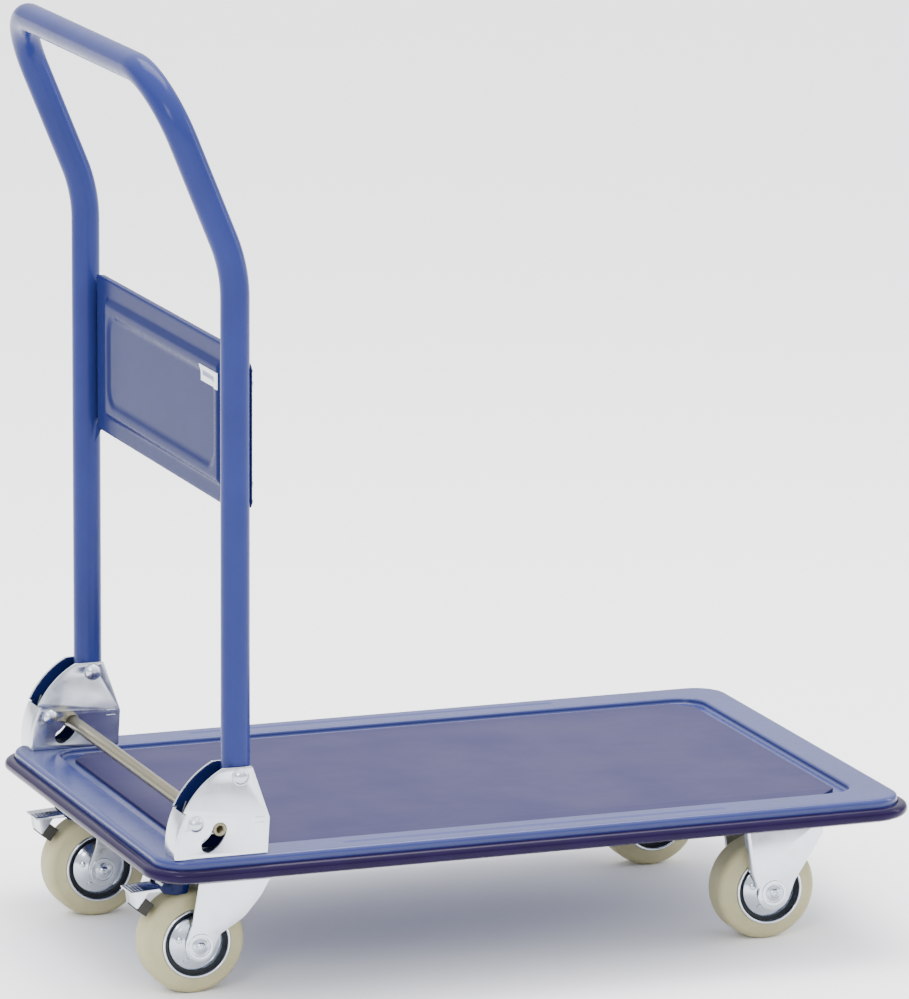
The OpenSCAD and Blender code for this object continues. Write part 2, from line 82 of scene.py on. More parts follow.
def move(x=0.0, y=0.0, z=0.0):
    return Matrix.Translation((x, y, z))


def spin(degrees, axis):
    return Matrix.Rotation(math.radians(degrees), 4, axis)


# ---------- outlines ----------


def arc(centre, radius, start, end, steps):
    """Points of an arc, with its angles in degrees."""
    turn = [math.radians(start + (end - start) * i / steps) for i in range(steps + 1)]
    return [(centre[0] + radius * math.cos(a),
             centre[1] + radius * math.sin(a)) for a in turn]


def softened(points, radius, steps=5):
    """A closed outline with its corners rounded, by one radius or by one for each."""
    rounded = []
    for i, point in enumerate(points):
        r = radius[i] if isinstance(radius, (list, tuple)) else radius
        p = Vector(point)
        back = Vector(points[i - 1]) - p
        ahead = Vector(points[(i + 1) % len(points)]) - p
        half = back.angle(ahead) / 2
        if r <= 0 or half > math.radians(89):
            rounded.append(tuple(p))
            continue
        reach = min(r / math.tan(half), 0.49 * min(back.length, ahead.length))
        r = reach * math.tan(half)
        back.normalize()
        ahead.normalize()
        centre = p + (back + ahead).normalized() * (r / math.sin(half))
        first, last = p + back * reach - centre, p + ahead * reach - centre
        turn = math.atan2(first.x * last.y - first.y * last.x, first.dot(last))
        for k in range(steps + 1):
            spun = Matrix.Rotation(turn * k / steps, 2) @ first
            rounded.append(tuple(centre + spun))
    return rounded


def rectangle(low_x, low_y, high_x, high_y):
    return [(low_x, low_y), (high_x, low_y), (high_x, high_y), (low_x, high_y)]


def four_corners(half_x, half_y):
    return [(i * half_x, j * half_y) for i in (-1, 1) for j in (-1, 1)]


def disc(centre, radius, steps=32):
    return arc(centre, radius, 0, 360, steps)[:-1]


def rounded_loop(half_x, half_y, radius, long_steps=1, short_steps=1, corner_steps=10):
    """Points round a rounded rectangle, each with its outward normal."""
    loop = []
    corners = [(1, 1), (-1, 1), (-1, -1), (1, -1)]
    for k, (sx, sy) in enumerate(corners):
        centre = Vector((sx * (half_x - radius), sy * (half_y - radius)))
        for i in range(corner_steps + 1):
            a = math.radians(90 * (k + i / corner_steps))
            n = Vector((math.cos(a), math.sin(a)))
            loop.append((centre + n * radius, n))
        steps = long_steps if k % 2 == 0 else short_steps
        nx, ny = corners[(k + 1) % 4]
        start = loop[-1][0]
        end = Vector((nx * (half_x - radius), ny * (half_y - radius))) + n * radius
        for i in range(1, steps):
            loop.append((start.lerp(end, i / steps), n))
    return loop


def past_rectangle(x, y, half_x, half_y, inset, radius):
    """How far a point lies outside a rectangle set in by inset, then grown by radius."""
    dx, dy = abs(x) - (half_x - inset), abs(y) - (half_y - inset)
    return math.hypot(max(dx, 0), max(dy, 0)) + min(max(dx, dy), 0) - radius


def smooth_step(value, low, high):
    t = min(1.0, max(0.0, (value - low) / (high - low)))
    return t * t * (3 - 2 * t)


# ---------- objects and meshes ----------


def placed(name, data):
    """A new object for the data, in the scene."""
    made = bpy.data.objects.new(name, data)
    bpy.context.scene.collection.objects.link(made)
    return made


def evaluated_mesh(thing):
    graph = bpy.context.evaluated_depsgraph_get()
    return bpy.data.meshes.new_from_object(thing.evaluated_get(graph))


def mesh_in_metres(bm, name):
    """Ends a bmesh drawn in millimetres."""
    bm.transform(Matrix.Scale(MM, 4))
    mesh = bpy.data.meshes.new(name)
    bm.to_mesh(mesh)
    bm.free()
    return mesh


# ---------- solids added to a bmesh, in millimetres ----------


def add_grid(bm, rows, closed=False):
    """Skin over rows of points of equal count, open or closed to rings."""
    grid = [[bm.verts.new(p) for p in row] for row in rows]
    count = len(grid[0])
    for a, b in zip(grid, grid[1:]):
        for i in range(count if closed else count - 1):
            j = (i + 1) % count
            bm.faces.new((a[i], b[i], b[j], a[j]))
    return grid


def add_mesh(bm, mesh, place):
    part = bmesh.new()
    part.from_mesh(mesh)
    bpy.data.meshes.remove(mesh)
    add_part(bm, part, place)


def add_part(bm, part, place):
    """Closes the seams of one solid, turns its faces outwards and adds it."""
    bmesh.ops.remove_doubles(part, verts=part.verts, dist=0.004)
    bmesh.ops.dissolve_degenerate(part, edges=part.edges, dist=0.001)
    part.transform(place)
    bmesh.ops.recalc_face_normals(part, faces=part.faces)
    joined = bpy.data.meshes.new("joined")
    part.to_mesh(joined)
    part.free()
    bm.from_mesh(joined)
    bpy.data.meshes.remove(joined)


def add_plate(bm, outlines, thickness, place=Matrix(), edge=0.4):
    """Sheet cut to the first outline, with holes from the others and its edges eased."""
    curve = bpy.data.curves.new("plate", "CURVE")
    curve.dimensions, curve.fill_mode = "2D", "BOTH"
    curve.extrude, curve.bevel_depth = thickness / 2 - edge, edge
    curve.bevel_resolution, curve.offset = 1, -edge
    for outline in outlines:
        spline = curve.splines.new("POLY")
        spline.points.add(len(outline) - 1)
        for point, (x, y) in zip(spline.points, outline):
            point.co = (x, y, 0, 1)
        spline.use_cyclic_u = True
    plate = placed("plate", curve)
    mesh = evaluated_mesh(plate)
    bpy.data.objects.remove(plate)
    bpy.data.curves.remove(curve)
    add_mesh(bm, mesh, place)


def add_loft(bm, rings, place=Matrix(), loop=False):
    """Skin over closed rings of equal count. The ends are capped, or joined for a loop."""
    part = bmesh.new()
    rows = [[part.verts.new(p) for p in ring] for ring in rings]
    count = len(rows[0])
    pairs = list(zip(rows, rows[1:])) + ([(rows[-1], rows[0])] if loop else [])
    for a, b in pairs:
        for i in range(count):
            j = (i + 1) % count
            part.faces.new((a[i], a[j], b[j], b[i]))
    if not loop:
        part.faces.new(rows[0])
        part.faces.new(rows[-1])
    add_part(bm, part, place)


def add_turned(bm, outline, place=Matrix(), sides=72):
    """Turns a closed outline of (radius, height) about z."""
    rings = []
    for k in range(sides):
        a = 2 * math.pi * k / sides
        rings.append([(r * math.cos(a), r * math.sin(a), h) for r, h in outline])
    add_loft(bm, rings, place, loop=True)


def add_prism(bm, sides, across, low, high, place=Matrix(), ease=0.6):
    """Bolt head or nut: a prism across flats, with its ends eased."""
    r = across / 2 / math.cos(math.pi / sides)
    rings = [
        [(q * math.cos(2 * math.pi * k / sides), q * math.sin(2 * math.pi * k / sides), z)
         for k in range(sides)]
        for q, z in ((r - ease, low), (r, low + ease / 2), (r, high - ease / 2),
                     (r - ease, high))
    ]
    add_loft(bm, rings, place)


def dome_outline(diameter, height, base=0.8, pit=0.0):
    """Half section of a round head from z 0, with a socket in it if pit is given."""
    r = diameter / 2
    rise = height - base
    ball = (r * r + rise * rise) / (2 * rise)
    start = math.degrees(math.asin(r / ball))
    top = arc((0, height - ball), ball, 90 - start, 90, 8)
    if pit:
        top = [p for p in top if p[0] > pit]
        top += [(pit, top[-1][1]), (pit * 0.85, height * 0.35), (0, height * 0.3)]
    return [(0, 0), (r, 0), (r, base)] + top[1:]


# ---------- materials ----------


def linear(hex_colour):
    """sRGB hex to linear RGBA."""
    rgb = [int(hex_colour[i:i + 2], 16) / 255 for i in (1, 3, 5)]
    curved = [c / 12.92 if c <= 0.04045 else ((c + 0.055) / 1.055) ** 2.4 for c in rgb]
    return curved + [1.0]


def add_node(tree, kind, inputs=None, **settings):
    """Adds a node, with its settings, and its inputs given as values or linked sockets."""
    made = tree.nodes.new(kind)
    for key, value in settings.items():
        setattr(made, key, value)
    for key, value in (inputs or {}).items():
        if isinstance(value, bpy.types.NodeSocket):
            tree.links.new(value, made.inputs[key])
        else:
            made.inputs[key].default_value = value
    return made


def start_material(name, **shader):
    """A new material, with sockets of its Principled shader set by name."""
    material = bpy.data.materials.new(name)
    material.use_nodes = True
    tree = material.node_tree
    tree.nodes.clear()
    sockets = {"IOR" if key == "ior" else key.replace("_", " ").title(): value
               for key, value in shader.items()}
    principled = add_node(tree, "ShaderNodeBsdfPrincipled", sockets)
    add_node(tree, "ShaderNodeOutputMaterial", {"Surface": principled.outputs[0]})
    coords = add_node(tree, "ShaderNodeTexCoord").outputs["Object"]
    material.diffuse_color = principled.inputs["Base Color"].default_value
    return material, tree, principled, coords


def noise(tree, coords, size_mm, stretch=(1, 1, 1), detail=3.0, rough=0.5):
    """Noise whose grains are about size_mm wide, drawn out along an axis by stretch."""
    mapped = add_node(tree, "ShaderNodeMapping", {
        "Vector": coords, "Scale": [1 / (size_mm * MM * s) for s in stretch]})
    return add_node(tree, "ShaderNodeTexNoise", {
        "Vector": mapped.outputs[0], "Scale": 1.0, "Detail": detail, "Roughness": rough,
    }).outputs["Fac"]


def spread(tree, factor, low, high, start=0.3, end=0.7):
    return add_node(tree, "ShaderNodeMapRange", {
        "Value": factor, "From Min": start, "From Max": end, "To Min": low, "To Max": high,
    }).outputs["Result"]


def tint(tree, factor, first, second):
    mix = add_node(tree, "ShaderNodeMix", data_type="RGBA")
    tree.links.new(factor, mix.inputs["Factor"])
    for s in mix.inputs:
        if s.type == "RGBA":
            s.default_value = first if s.name == "A" else second
    return next(s for s in mix.outputs if s.type == "RGBA")


def bump(tree, principled, height, depth_mm, strength):
    made = add_node(tree, "ShaderNodeBump", {
        "Height": height, "Distance": depth_mm * MM, "Strength": strength})
    tree.links.new(made.outputs[0], principled.inputs["Normal"])


def vary_roughness(tree, principled, factor, low, high):
    varied = spread(tree, factor, low, high)
    tree.links.new(varied, principled.inputs["Roughness"])


def shade(colour, factor):
    return [min(1.0, c * factor) for c in colour[:3]] + [1.0]


def mottle(tree, principled, factor, colour, dark, light):
    """Lets the base colour wander between two shades of one colour."""
    mixed = tint(tree, spread(tree, factor, 0, 1), shade(colour, dark),
                 shade(colour, light))
    tree.links.new(mixed, principled.inputs["Base Color"])


def stove_enamel(name, colour, ior=1.22):
    """Glossy stoving enamel sprayed on steel: an even colour under a clear wet gloss, with
    a slight orange peel and a faint dust that dulls it in patches."""
    colour = list(colour)
    material, tree, principled, coords = start_material(
        name, base_color=colour, roughness=0.2, ior=ior)
    cloud = noise(tree, coords, 60, detail=4)
    mottle(tree, principled, cloud, colour, 0.92, 1.07)
    dust = noise(tree, coords, 9, detail=6, rough=0.65)
    vary_roughness(tree, principled, dust, 0.15, 0.27)
    bump(tree, principled, noise(tree, coords, 5, detail=0), 0.01, 0.6)
    return material


def calendered_vinyl(name, colour):
    """PVC sheet rolled between engraved drums: matt, with a pebbled grain 1.5 mm across and
    faint streaks along the roll. The grain is drawn a little coarse so that it shows."""
    colour = list(colour)
    material, tree, principled, coords = start_material(
        name, base_color=colour, roughness=0.55, ior=1.3)
    streaks = noise(tree, coords, 7, stretch=(14, 1, 1), detail=3)
    patches = noise(tree, coords, 90, detail=3)
    base = tint(tree, spread(tree, streaks, 0, 1), shade(colour, 0.96), shade(colour, 1.04))
    mix = add_node(tree, "ShaderNodeMix", data_type="RGBA", blend_type="MULTIPLY")
    rgba = [s for s in mix.inputs if s.type == "RGBA"]
    tree.links.new(base, rgba[0])
    tree.links.new(tint(tree, spread(tree, patches, 0, 1), (0.94, 0.94, 0.96, 1),
                        (1, 1, 1, 1)),
                   rgba[1])
    mix.inputs["Factor"].default_value = 1.0
    tree.links.new(next(s for s in mix.outputs if s.type == "RGBA"),
                   principled.inputs["Base Color"])
    pebble = add_node(tree, "ShaderNodeTexVoronoi", {
        "Vector": coords, "Scale": 1 / (1.5 * MM)}, feature="SMOOTH_F1").outputs["Distance"]
    bump(tree, principled, pebble, 0.05, 0.7)
    vary_roughness(tree, principled, patches, 0.48, 0.62)
    return material


def extruded_vinyl(name, colour):
    """Soft PVC extrusion: glossy, with fine die lines that run along the strip."""
    colour = list(colour)
    material, tree, principled, coords = start_material(
        name, base_color=colour, roughness=0.13, ior=1.2)
    lines = noise(tree, coords, 1.4, stretch=(400, 400, 1), detail=0)
    smudge = noise(tree, coords, 35, detail=4)
    mottle(tree, principled, smudge, colour, 0.85, 1.15)
    vary_roughness(tree, principled, smudge, 0.12, 0.24)
    bump(tree, principled, lines, 0.02, 0.4)
    return material


def zinc_plate(name, colour, roughness, brushed=(1, 1, 12)):
    """Electroplated zinc on pressed steel: pale bluish metal with a cloudy passivated film
    and faint drawing lines from the press."""
    colour = list(colour)
    material, tree, principled, coords = start_material(
        name, base_color=colour, metallic=1.0, roughness=roughness)
    cloud = noise(tree, coords, 16, detail=5, rough=0.6)
    mottle(tree, principled, cloud, colour, 0.9, 1.04)
    lines = noise(tree, coords, 0.8, stretch=brushed, detail=3)
    vary_roughness(tree, principled, cloud, roughness - 0.06, roughness + 0.08)
    bump(tree, principled, lines, 0.006, 0.6)
    return material


def moulded_rubber(name, colour, roughness=0.6, grain=1.2):
    """Moulded rubber: matt, with a fine mould texture and a pale bloom in patches."""
    colour = list(colour)
    material, tree, principled, coords = start_material(
        name, base_color=colour, roughness=roughness, ior=1.5)
    bloom = noise(tree, coords, 18, detail=5, rough=0.6)
    mottle(tree, principled, bloom, colour, 0.92, 1.05)
    vary_roughness(tree, principled, bloom, roughness - 0.06, roughness + 0.1)
    bump(tree, principled, noise(tree, coords, grain, detail=3), 0.05, 0.5)
    return material


def printed_film(name, colour):
    """White polyester label film with a plain grey bar printed on it."""
    material, tree, principled, coords = start_material(
        name, base_color=list(colour), roughness=0.35, ior=1.5)
    place = middle("label_sticker") * MM
    split = add_node(tree, "ShaderNodeSeparateXYZ", {"Vector": coords})

    def within(value, centre, half):
        away = add_node(tree, "ShaderNodeMath", {0: value, 1: centre}, operation="SUBTRACT")
        away = add_node(tree, "ShaderNodeMath", {0: away.outputs[0]}, operation="ABSOLUTE")
        return add_node(tree, "ShaderNodeMath", {0: away.outputs[0], 1: half},
                        operation="LESS_THAN").outputs[0]

    bar = add_node(tree, "ShaderNodeMath", {
        0: within(split.outputs["Y"], place.y + 2 * MM, 19 * MM),
        1: within(split.outputs["Z"], place.z + 0.5 * MM, 2.6 * MM)}, operation="MULTIPLY")
    tree.links.new(tint(tree, bar.outputs[0], list(colour), linear("#6E748E")),
                   principled.inputs["Base Color"])
    wear = noise(tree, coords, 5, detail=3)
    vary_roughness(tree, principled, wear, 0.3, 0.42)
    return material


def studio_floor(name):
    """Seamless pale studio paper."""
    material, tree, principled, coords = start_material(
        name, base_color=linear("#FBFBFC"), roughness=0.9)
    fibre = noise(tree, coords, 3, detail=3)
    tree.links.new(tint(tree, fibre, linear("#F9F9FA"), linear("#FDFDFD")),
                   principled.inputs["Base Color"])
    return material


def finish(name):
    """The named finish, made the first time it is asked for."""
    if name in bpy.data.materials:
        return bpy.data.materials[name]
    c = bpy.context.scene.cart_colours
    makers = {
        "blue stove enamel": lambda n: stove_enamel(n, c.enamel),
        "blue deck enamel": lambda n: stove_enamel(n, c.enamel, 1.42),
        # the panel: the handle's blue enamel at 0.62, a darker copy that paints shade over
        # the light on the panel's face
        "blue sheet enamel": lambda n: stove_enamel(n, shade(c.enamel, 0.62), 1.1),
        "navy stove enamel": lambda n: stove_enamel(n, c.brake_enamel),
        "calendered vinyl mat": lambda n: calendered_vinyl(n, c.mat),
        "extruded vinyl bumper": lambda n: extruded_vinyl(n, c.bumper),
        "zinc plated sheet": lambda n: zinc_plate(n, c.zinc, 0.19),
        "zinc plated bolts": lambda n: zinc_plate(n, c.zinc_bright, 0.25, (1, 1, 1)),
        "zinc plated hub": lambda n: zinc_plate(n, c.zinc_bright, 0.13, (1, 1, 1)),
        "yellow passivated tube": lambda n: zinc_plate(n, c.yellow_zinc, 0.36, (1, 14, 1)),
        "oiled spring steel": lambda n: zinc_plate(n, c.spring_steel, 0.35, (1, 1, 1)),
        "grey tyre rubber": lambda n: moulded_rubber(n, c.tyre),
        # near-black rings that paint the shade in the wheel grooves
        "black seal rubber": lambda n: moulded_rubber(n, c.groove_shade, 0.5),
        "brake shoe rubber": lambda n: moulded_rubber(n, c.shoe, 0.75),
        "printed label film": lambda n: printed_film(n, c.label),
        "studio paper": studio_floor,
    }
    return makers[name](name)


# ---------- finished pieces ----------


def dress(piece, finish_name, body, stands_for=(), sharp=38):
    """Gives a mesh object its finish and shading, and hangs it on its CAD body."""
    mesh = piece.data
    if not mesh.materials:
        mesh.materials.append(finish(finish_name))
    mesh.shade_smooth()
    mesh.set_sharp_from_angle(angle=math.radians(sharp))
    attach(piece, body)
    if stands_for:
        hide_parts(*stands_for)
    return piece


def finish_piece(bm, name, finish_name, body, stands_for=(), sharp=38):
    """Turns a bmesh in millimetres into a finished piece in metres."""
    return grown_piece(mesh_in_metres(bm, name), name, finish_name, body, stands_for, sharp)


def solidify(piece, thickness_mm, offset=-1.0):
    wall = piece.modifiers.new("wall", "SOLIDIFY")
    wall.thickness, wall.offset = thickness_mm * MM, offset
    wall.use_even_offset = True
    return piece


# ---------- Geometry Nodes for what repeats or follows a line ----------


def start_tree(name, inputs):
    """A geometry tree with named inputs, its group input node and a function to end it."""
    tree = bpy.data.node_groups.new(name, "GeometryNodeTree")
    tree.interface.new_socket("Geometry", in_out="INPUT", socket_type="NodeSocketGeometry")
    tree.interface.new_socket("Geometry", in_out="OUTPUT", socket_type="NodeSocketGeometry")
    for label, kind in inputs:
        tree.interface.new_socket(label, in_out="INPUT", socket_type="NodeSocket" + kind)
    tree.interface.new_socket("Finish", in_out="INPUT", socket_type="NodeSocketMaterial")
    source = add_node(tree, "NodeGroupInput")

    def end(geometry):
        real = add_node(tree, "GeometryNodeRealizeInstances", {"Geometry": geometry})
        coated = add_node(tree, "GeometryNodeSetMaterial", {
            "Geometry": real.outputs[0], "Material": source.outputs["Finish"]})
        add_node(tree, "NodeGroupOutput", {0: coated.outputs[0]})
        return tree

    return tree, source, end


def item_at_points_tree():
    """Copies one item on to every point, such as screws on their holes."""
    tree, source, end = start_tree("item at points", [("Item", "Object")])
    item = add_node(tree, "GeometryNodeObjectInfo", {
        "Object": source.outputs["Item"], "As Instance": True})
    copies = add_node(tree, "GeometryNodeInstanceOnPoints", {
        "Points": source.outputs["Geometry"], "Instance": item.outputs["Geometry"]})
    return end(copies.outputs[0])


def ball_ring_tree():
    """Balls evenly round a race."""
    tree, source, end = start_tree("ball ring", [
        ("Count", "Int"), ("Ring radius", "Float"), ("Ball radius", "Float")])
    ring = add_node(tree, "GeometryNodeMeshCircle", {
        "Vertices": source.outputs["Count"], "Radius": source.outputs["Ring radius"]})
    ball = add_node(tree, "GeometryNodeMeshIcoSphere", {
        "Radius": source.outputs["Ball radius"], "Subdivisions": 3})
    copies = add_node(tree, "GeometryNodeInstanceOnPoints", {
        "Points": ring.outputs[0], "Instance": ball.outputs[0]})
    return end(copies.outputs[0])


def coil_spring_tree():
    """Close wound coils with a straight leg at one end."""
    tree, source, end = start_tree("coil spring", [
        ("Turns", "Float"), ("Coil radius", "Float"), ("Length", "Float"),
        ("Wire radius", "Float"), ("Leg", "Float")])
    coil = add_node(tree, "GeometryNodeCurveSpiral", {
        "Resolution": 32, "Rotations": source.outputs["Turns"],
        "Start Radius": source.outputs["Coil radius"],
        "End Radius": source.outputs["Coil radius"], "Height": source.outputs["Length"]})
    x_end = add_node(tree, "ShaderNodeCombineXYZ", {
        "X": source.outputs["Coil radius"], "Y": source.outputs["Leg"],
        "Z": source.outputs["Length"]})
    x_start = add_node(tree, "ShaderNodeCombineXYZ", {
        "X": source.outputs["Coil radius"], "Z": source.outputs["Length"]})
    leg = add_node(tree, "GeometryNodeCurvePrimitiveLine", {
        "Start": x_start.outputs[0], "End": x_end.outputs[0]})
    both = add_node(tree, "GeometryNodeJoinGeometry")
    tree.links.new(coil.outputs[0], both.inputs[0])
    tree.links.new(leg.outputs[0], both.inputs[0])
    wire = add_node(tree, "GeometryNodeCurvePrimitiveCircle", {
        "Resolution": 10, "Radius": source.outputs["Wire radius"]})
    swept = add_node(tree, "GeometryNodeCurveToMesh", {
        "Curve": both.outputs[0], "Profile Curve": wire.outputs[0], "Fill Caps": True})
    return end(swept.outputs[0])


def tube_on_path_tree():
    """Round tube along a path of edges, open at both ends."""
    tree, source, end = start_tree("tube on path", [("Radius", "Float"), ("Sides", "Int")])
    path = add_node(tree, "GeometryNodeMeshToCurve", {"Mesh": source.outputs["Geometry"]})
    ring = add_node(tree, "GeometryNodeCurvePrimitiveCircle", {
        "Resolution": source.outputs["Sides"], "Radius": source.outputs["Radius"]})
    swept = add_node(tree, "GeometryNodeCurveToMesh", {
        "Curve": path.outputs[0], "Profile Curve": ring.outputs[0]})
    return end(swept.outputs[0])


def tree_named(name):
    makers = {"item at points": item_at_points_tree, "ball ring": ball_ring_tree,
              "coil spring": coil_spring_tree, "tube on path": tube_on_path_tree}
    return bpy.data.node_groups.get(name) or makers[name]()


def grown(name, tree_name, values, points=((0, 0, 0),), edges=()):
    """Runs a tree on points in metres and returns the plain mesh it makes."""
    tree = tree_named(tree_name)
    base = bpy.data.meshes.new(name)
    base.from_pydata([tuple(p) for p in points], list(edges), [])
    carrier = placed(name, base)
    modifier = carrier.modifiers.new("nodes", "NODES")
    modifier.node_group = tree
    sockets = {item.name: item.identifier for item in tree.interface.items_tree
               if item.in_out == "INPUT"}
    for label, value in values.items():
        modifier[sockets[label]] = value
    bpy.context.view_layer.update()
    mesh = evaluated_mesh(carrier)
    bpy.data.objects.remove(carrier)
    bpy.data.meshes.remove(base)
    mesh.name = name
    return mesh


def grown_piece(mesh, name, finish_name, body, stands_for=(), sharp=38):
    return dress(placed(name, mesh), finish_name, body, stands_for, sharp)


def copies_of(bm, name, finish_name, points_mm):
    """One item, drawn in millimetres at the origin, copied on to points."""
    mesh = mesh_in_metres(bm, name + "_item")
    item = placed(name + "_item", mesh)
    made = grown(name, "item at points", {"Item": item, "Finish": finish(finish_name)},
                 [Vector(p) * MM for p in points_mm])
    bpy.data.objects.remove(item)
    bpy.data.meshes.remove(mesh)
    return made


# ---------- sizes and colours a user would change ----------


def length(name, description, mm, low=0.1, high=500.0):
    return bpy.props.FloatProperty(
        name=name, description=description, default=mm * MM, min=low * MM, max=high * MM,
        unit="LENGTH", subtype="DISTANCE", precision=4)


def colour(name, description, hex_colour):
    return bpy.props.FloatVectorProperty(
        name=name, description=description, default=linear(hex_colour),
        size=4, min=0, max=1,
        subtype="COLOR")


class CartSizes(bpy.types.PropertyGroup):
    rim_edge: length("Rim edge radius", "Rounding between rim and skirt", 4.5)
    sheet: length("Deck sheet", "Thickness of the deck sheet", 1.6)
    recess_depth: length("Recess depth", "Depth of the recess for the mat", 6)
    rib_depth: length("Rib depth", "Depth of the grooves in the long rims", 1.0)
    rib_length: length("Rib length", "Length of the grooves in the long rims",
                       387, high=600)
    bumper_round: length("Bumper round", "Radius of the bumper's face", 6)
    cheek: length("Cheek", "Thickness of the bracket sheet", 2)
    bracket_bend: length("Bracket bend", "Outside radius of the bracket's folds", 3.5)
    tube_wall: length("Tube wall", "Wall of the handle tube", 1.6)
    bend_up: length("Bend height", "Pivot to the bend in the leg", 476, high=700)
    bend_radius: length("Bend radius", "Radius of the bend in the leg", 145)
    grip_up: length("Grip", "Bend to the middle of the grip", 195.5)
    corner_radius: length("Grip corners", "Radius of the grip's corners", 66)
    lean: bpy.props.FloatProperty(
        name="Lean", description="Angle at which the grip leans back",
        default=math.radians(22.3),
        min=0, max=1, subtype="ANGLE")
    field_out: length("Panel field", "How far the panel's field stands out", 4)
    fork_sheet: length("Fork sheet", "Thickness of the caster forks", 2.5)
    tyre_shoulder: length("Tyre shoulder", "Radius of the tyre's shoulders", 8)


class CartColours(bpy.types.PropertyGroup):
    enamel: colour("Enamel", "Deck, handle and panel", "#262F66")
    brake_enamel: colour("Brake enamel", "Brake housings", "#0E1740")
    mat: colour("Mat", "Vinyl mat", "#252149")
    bumper: colour("Bumper", "Vinyl bumper", "#160A2E")
    zinc: colour("Zinc sheet", "Brackets and forks", "#D3D8DF")
    zinc_bright: colour("Bright zinc", "Bolts and hubs", "#C2C8D2")
    yellow_zinc: colour("Yellow zinc", "Release tube", "#857F68")
    spring_steel: colour("Spring steel", "Springs and balls", "#77797D")
    tyre: colour("Tyre", "Grey rubber tyres", "#A8A27C")
    # near-black rings in the wheel grooves, painted as shade
    groove_shade: colour("Seal", "Dust seals in the wheels", "#0A1218")
    shoe: colour("Brake shoe", "Rubber brake shoes", "#2A2822")
    label: colour("Label", "Sticker film", "#E4E6EC")


class BuildStep:
    """A step of the build, which adds its pieces to the scene."""

    def execute(self, context):
        self.build(context.scene.cart_sizes)
        return {"FINISHED"}


# ---------- platform ----------


class CART_OT_pan(BuildStep, bpy.types.Operator):
    """Pressed deck pan with its recess, ribbed rims and turned down skirt"""
    bl_idname = "cart.pan"
    bl_label = "Deck pan"

    def build(self, sizes):
        low, high = box_mm("deck_pan")
        mat_high = box_mm("deck_mat")[1]
        edge, depth = sizes.rim_edge / MM, sizes.recess_depth / MM
        top, half_x, half_y = high.z, high.x, high.y
        floor = top - depth
        steps = dict(long_steps=240, short_steps=24, corner_steps=12)
        gap_end, gap_side, recess_corner = 13, 9.5, 27
        foot, lip, tuck = 2.6, 2.6, 2.2
        rib_inset, rib_half_width, rib_slope = 18.5, 1.2, 3.0
        outer = rounded_loop(half_x, half_y, DECK_CORNER, **steps)
        inner = rounded_loop(mat_high.x + gap_end, mat_high.y + gap_side, recess_corner,
                             **steps)
        rows = []

        def inner_row(off, z):
            rows.append([(*(p + n * off), z) for p, n in inner])

        def outer_row(off, z):
            rows.append([(*(p + n * off), z) for p, n in outer])

        for off in (-30, -16, -foot - 1):
            inner_row(off, floor)
        for off, z in arc((-foot, floor + foot), foot, -90, 0, 4):
            inner_row(off, z)
        for off, z in arc((lip, top - lip), lip, 180, 90, 4):
            inner_row(off, z)
        first = [p + n * lip for p, n in inner]
        last = [p - n * edge for p, n in outer]
        rib_y, half_rib = half_y - rib_inset, sizes.rib_length / MM / 2 - 4
        count = 30
        for i in range(1, count):
            row = []
            for a, b in zip(first, last):
                p = a.lerp(b, i / count)
                away = math.hypot(max(0.0, abs(p.x) - half_rib), abs(p.y) - rib_y)
                pressed = 1 - smooth_step(away, rib_half_width, rib_half_width + rib_slope)
                row.append((p.x, p.y, top - sizes.rib_depth / MM * pressed))
            rows.append(row)
        for off, z in arc((-edge, top - edge), edge, 90, 0, 6):
            outer_row(off, z)
        for off, z in arc((-tuck, low.z + tuck), tuck, 0, -90, 4):
            outer_row(off, z)
        outer_row(-13.5, low.z)

        bm = bmesh.new()
        grid = add_grid(bm, rows, closed=True)
        bm.faces.new(grid[0])
        pan = finish_piece(bm, "pressed_pan", "blue deck enamel", "platform",
                           ["deck_pan"], 50)
        solidify(pan, sizes.sheet / MM)


class CART_OT_mat(BuildStep, bpy.types.Operator):
    """Vinyl mat glued into the recess, with its corners cut off"""
    bl_idname = "cart.mat"
    bl_label = "Mat"

    def build(self, sizes):
        low, high = box_mm("deck_mat")
        x, y, cut = high.x, high.y, 19
        outline = [(-x + cut, -y), (x - cut, -y), (x, -y + cut), (x, y - cut),
                   (x - cut, y), (-x + cut, y), (-x, y - cut), (-x, -y + cut)]
        bm = bmesh.new()
        add_plate(bm, [softened(outline, 3)], high.z - low.z,
                  move(z=(low.z + high.z) / 2), edge=0.7)
        finish_piece(bm, "vinyl_mat", "calendered vinyl mat", "platform", ["deck_mat"])


class CART_OT_bumper(BuildStep, bpy.types.Operator):
    """Soft bumper strip pressed on round the skirt"""
    bl_idname = "cart.bumper"
    bl_label = "Bumper"

    def build(self, sizes):
        r = sizes.bumper_round / MM
        low, high = box_mm("bumper")
        pan_high = box_mm("deck_pan")[1]
        out = high.x - pan_high.x
        z = high.z - r
        section = [(0.15, high.z - 1.2), (0.9, high.z)]
        section += arc((out - r, z), r, 78, -78, 12)
        section += [(out - r, z - r), (2.2, low.z + 0.3), (-5.5, low.z), (-6, low.z + 0.6),
                    (-5.5, low.z + 1.6), (0.15, low.z + 1.8)]
        loop = rounded_loop(pan_high.x, pan_high.y, DECK_CORNER, 40, 24, 20)
        rings = [[(*(p + n * off), h) for off, h in section] for p, n in loop]
        bm = bmesh.new()
        add_loft(bm, rings, loop=True)
        finish_piece(bm, "bumper_strip", "extruded vinyl bumper", "platform",
                     ["bumper"], 50)


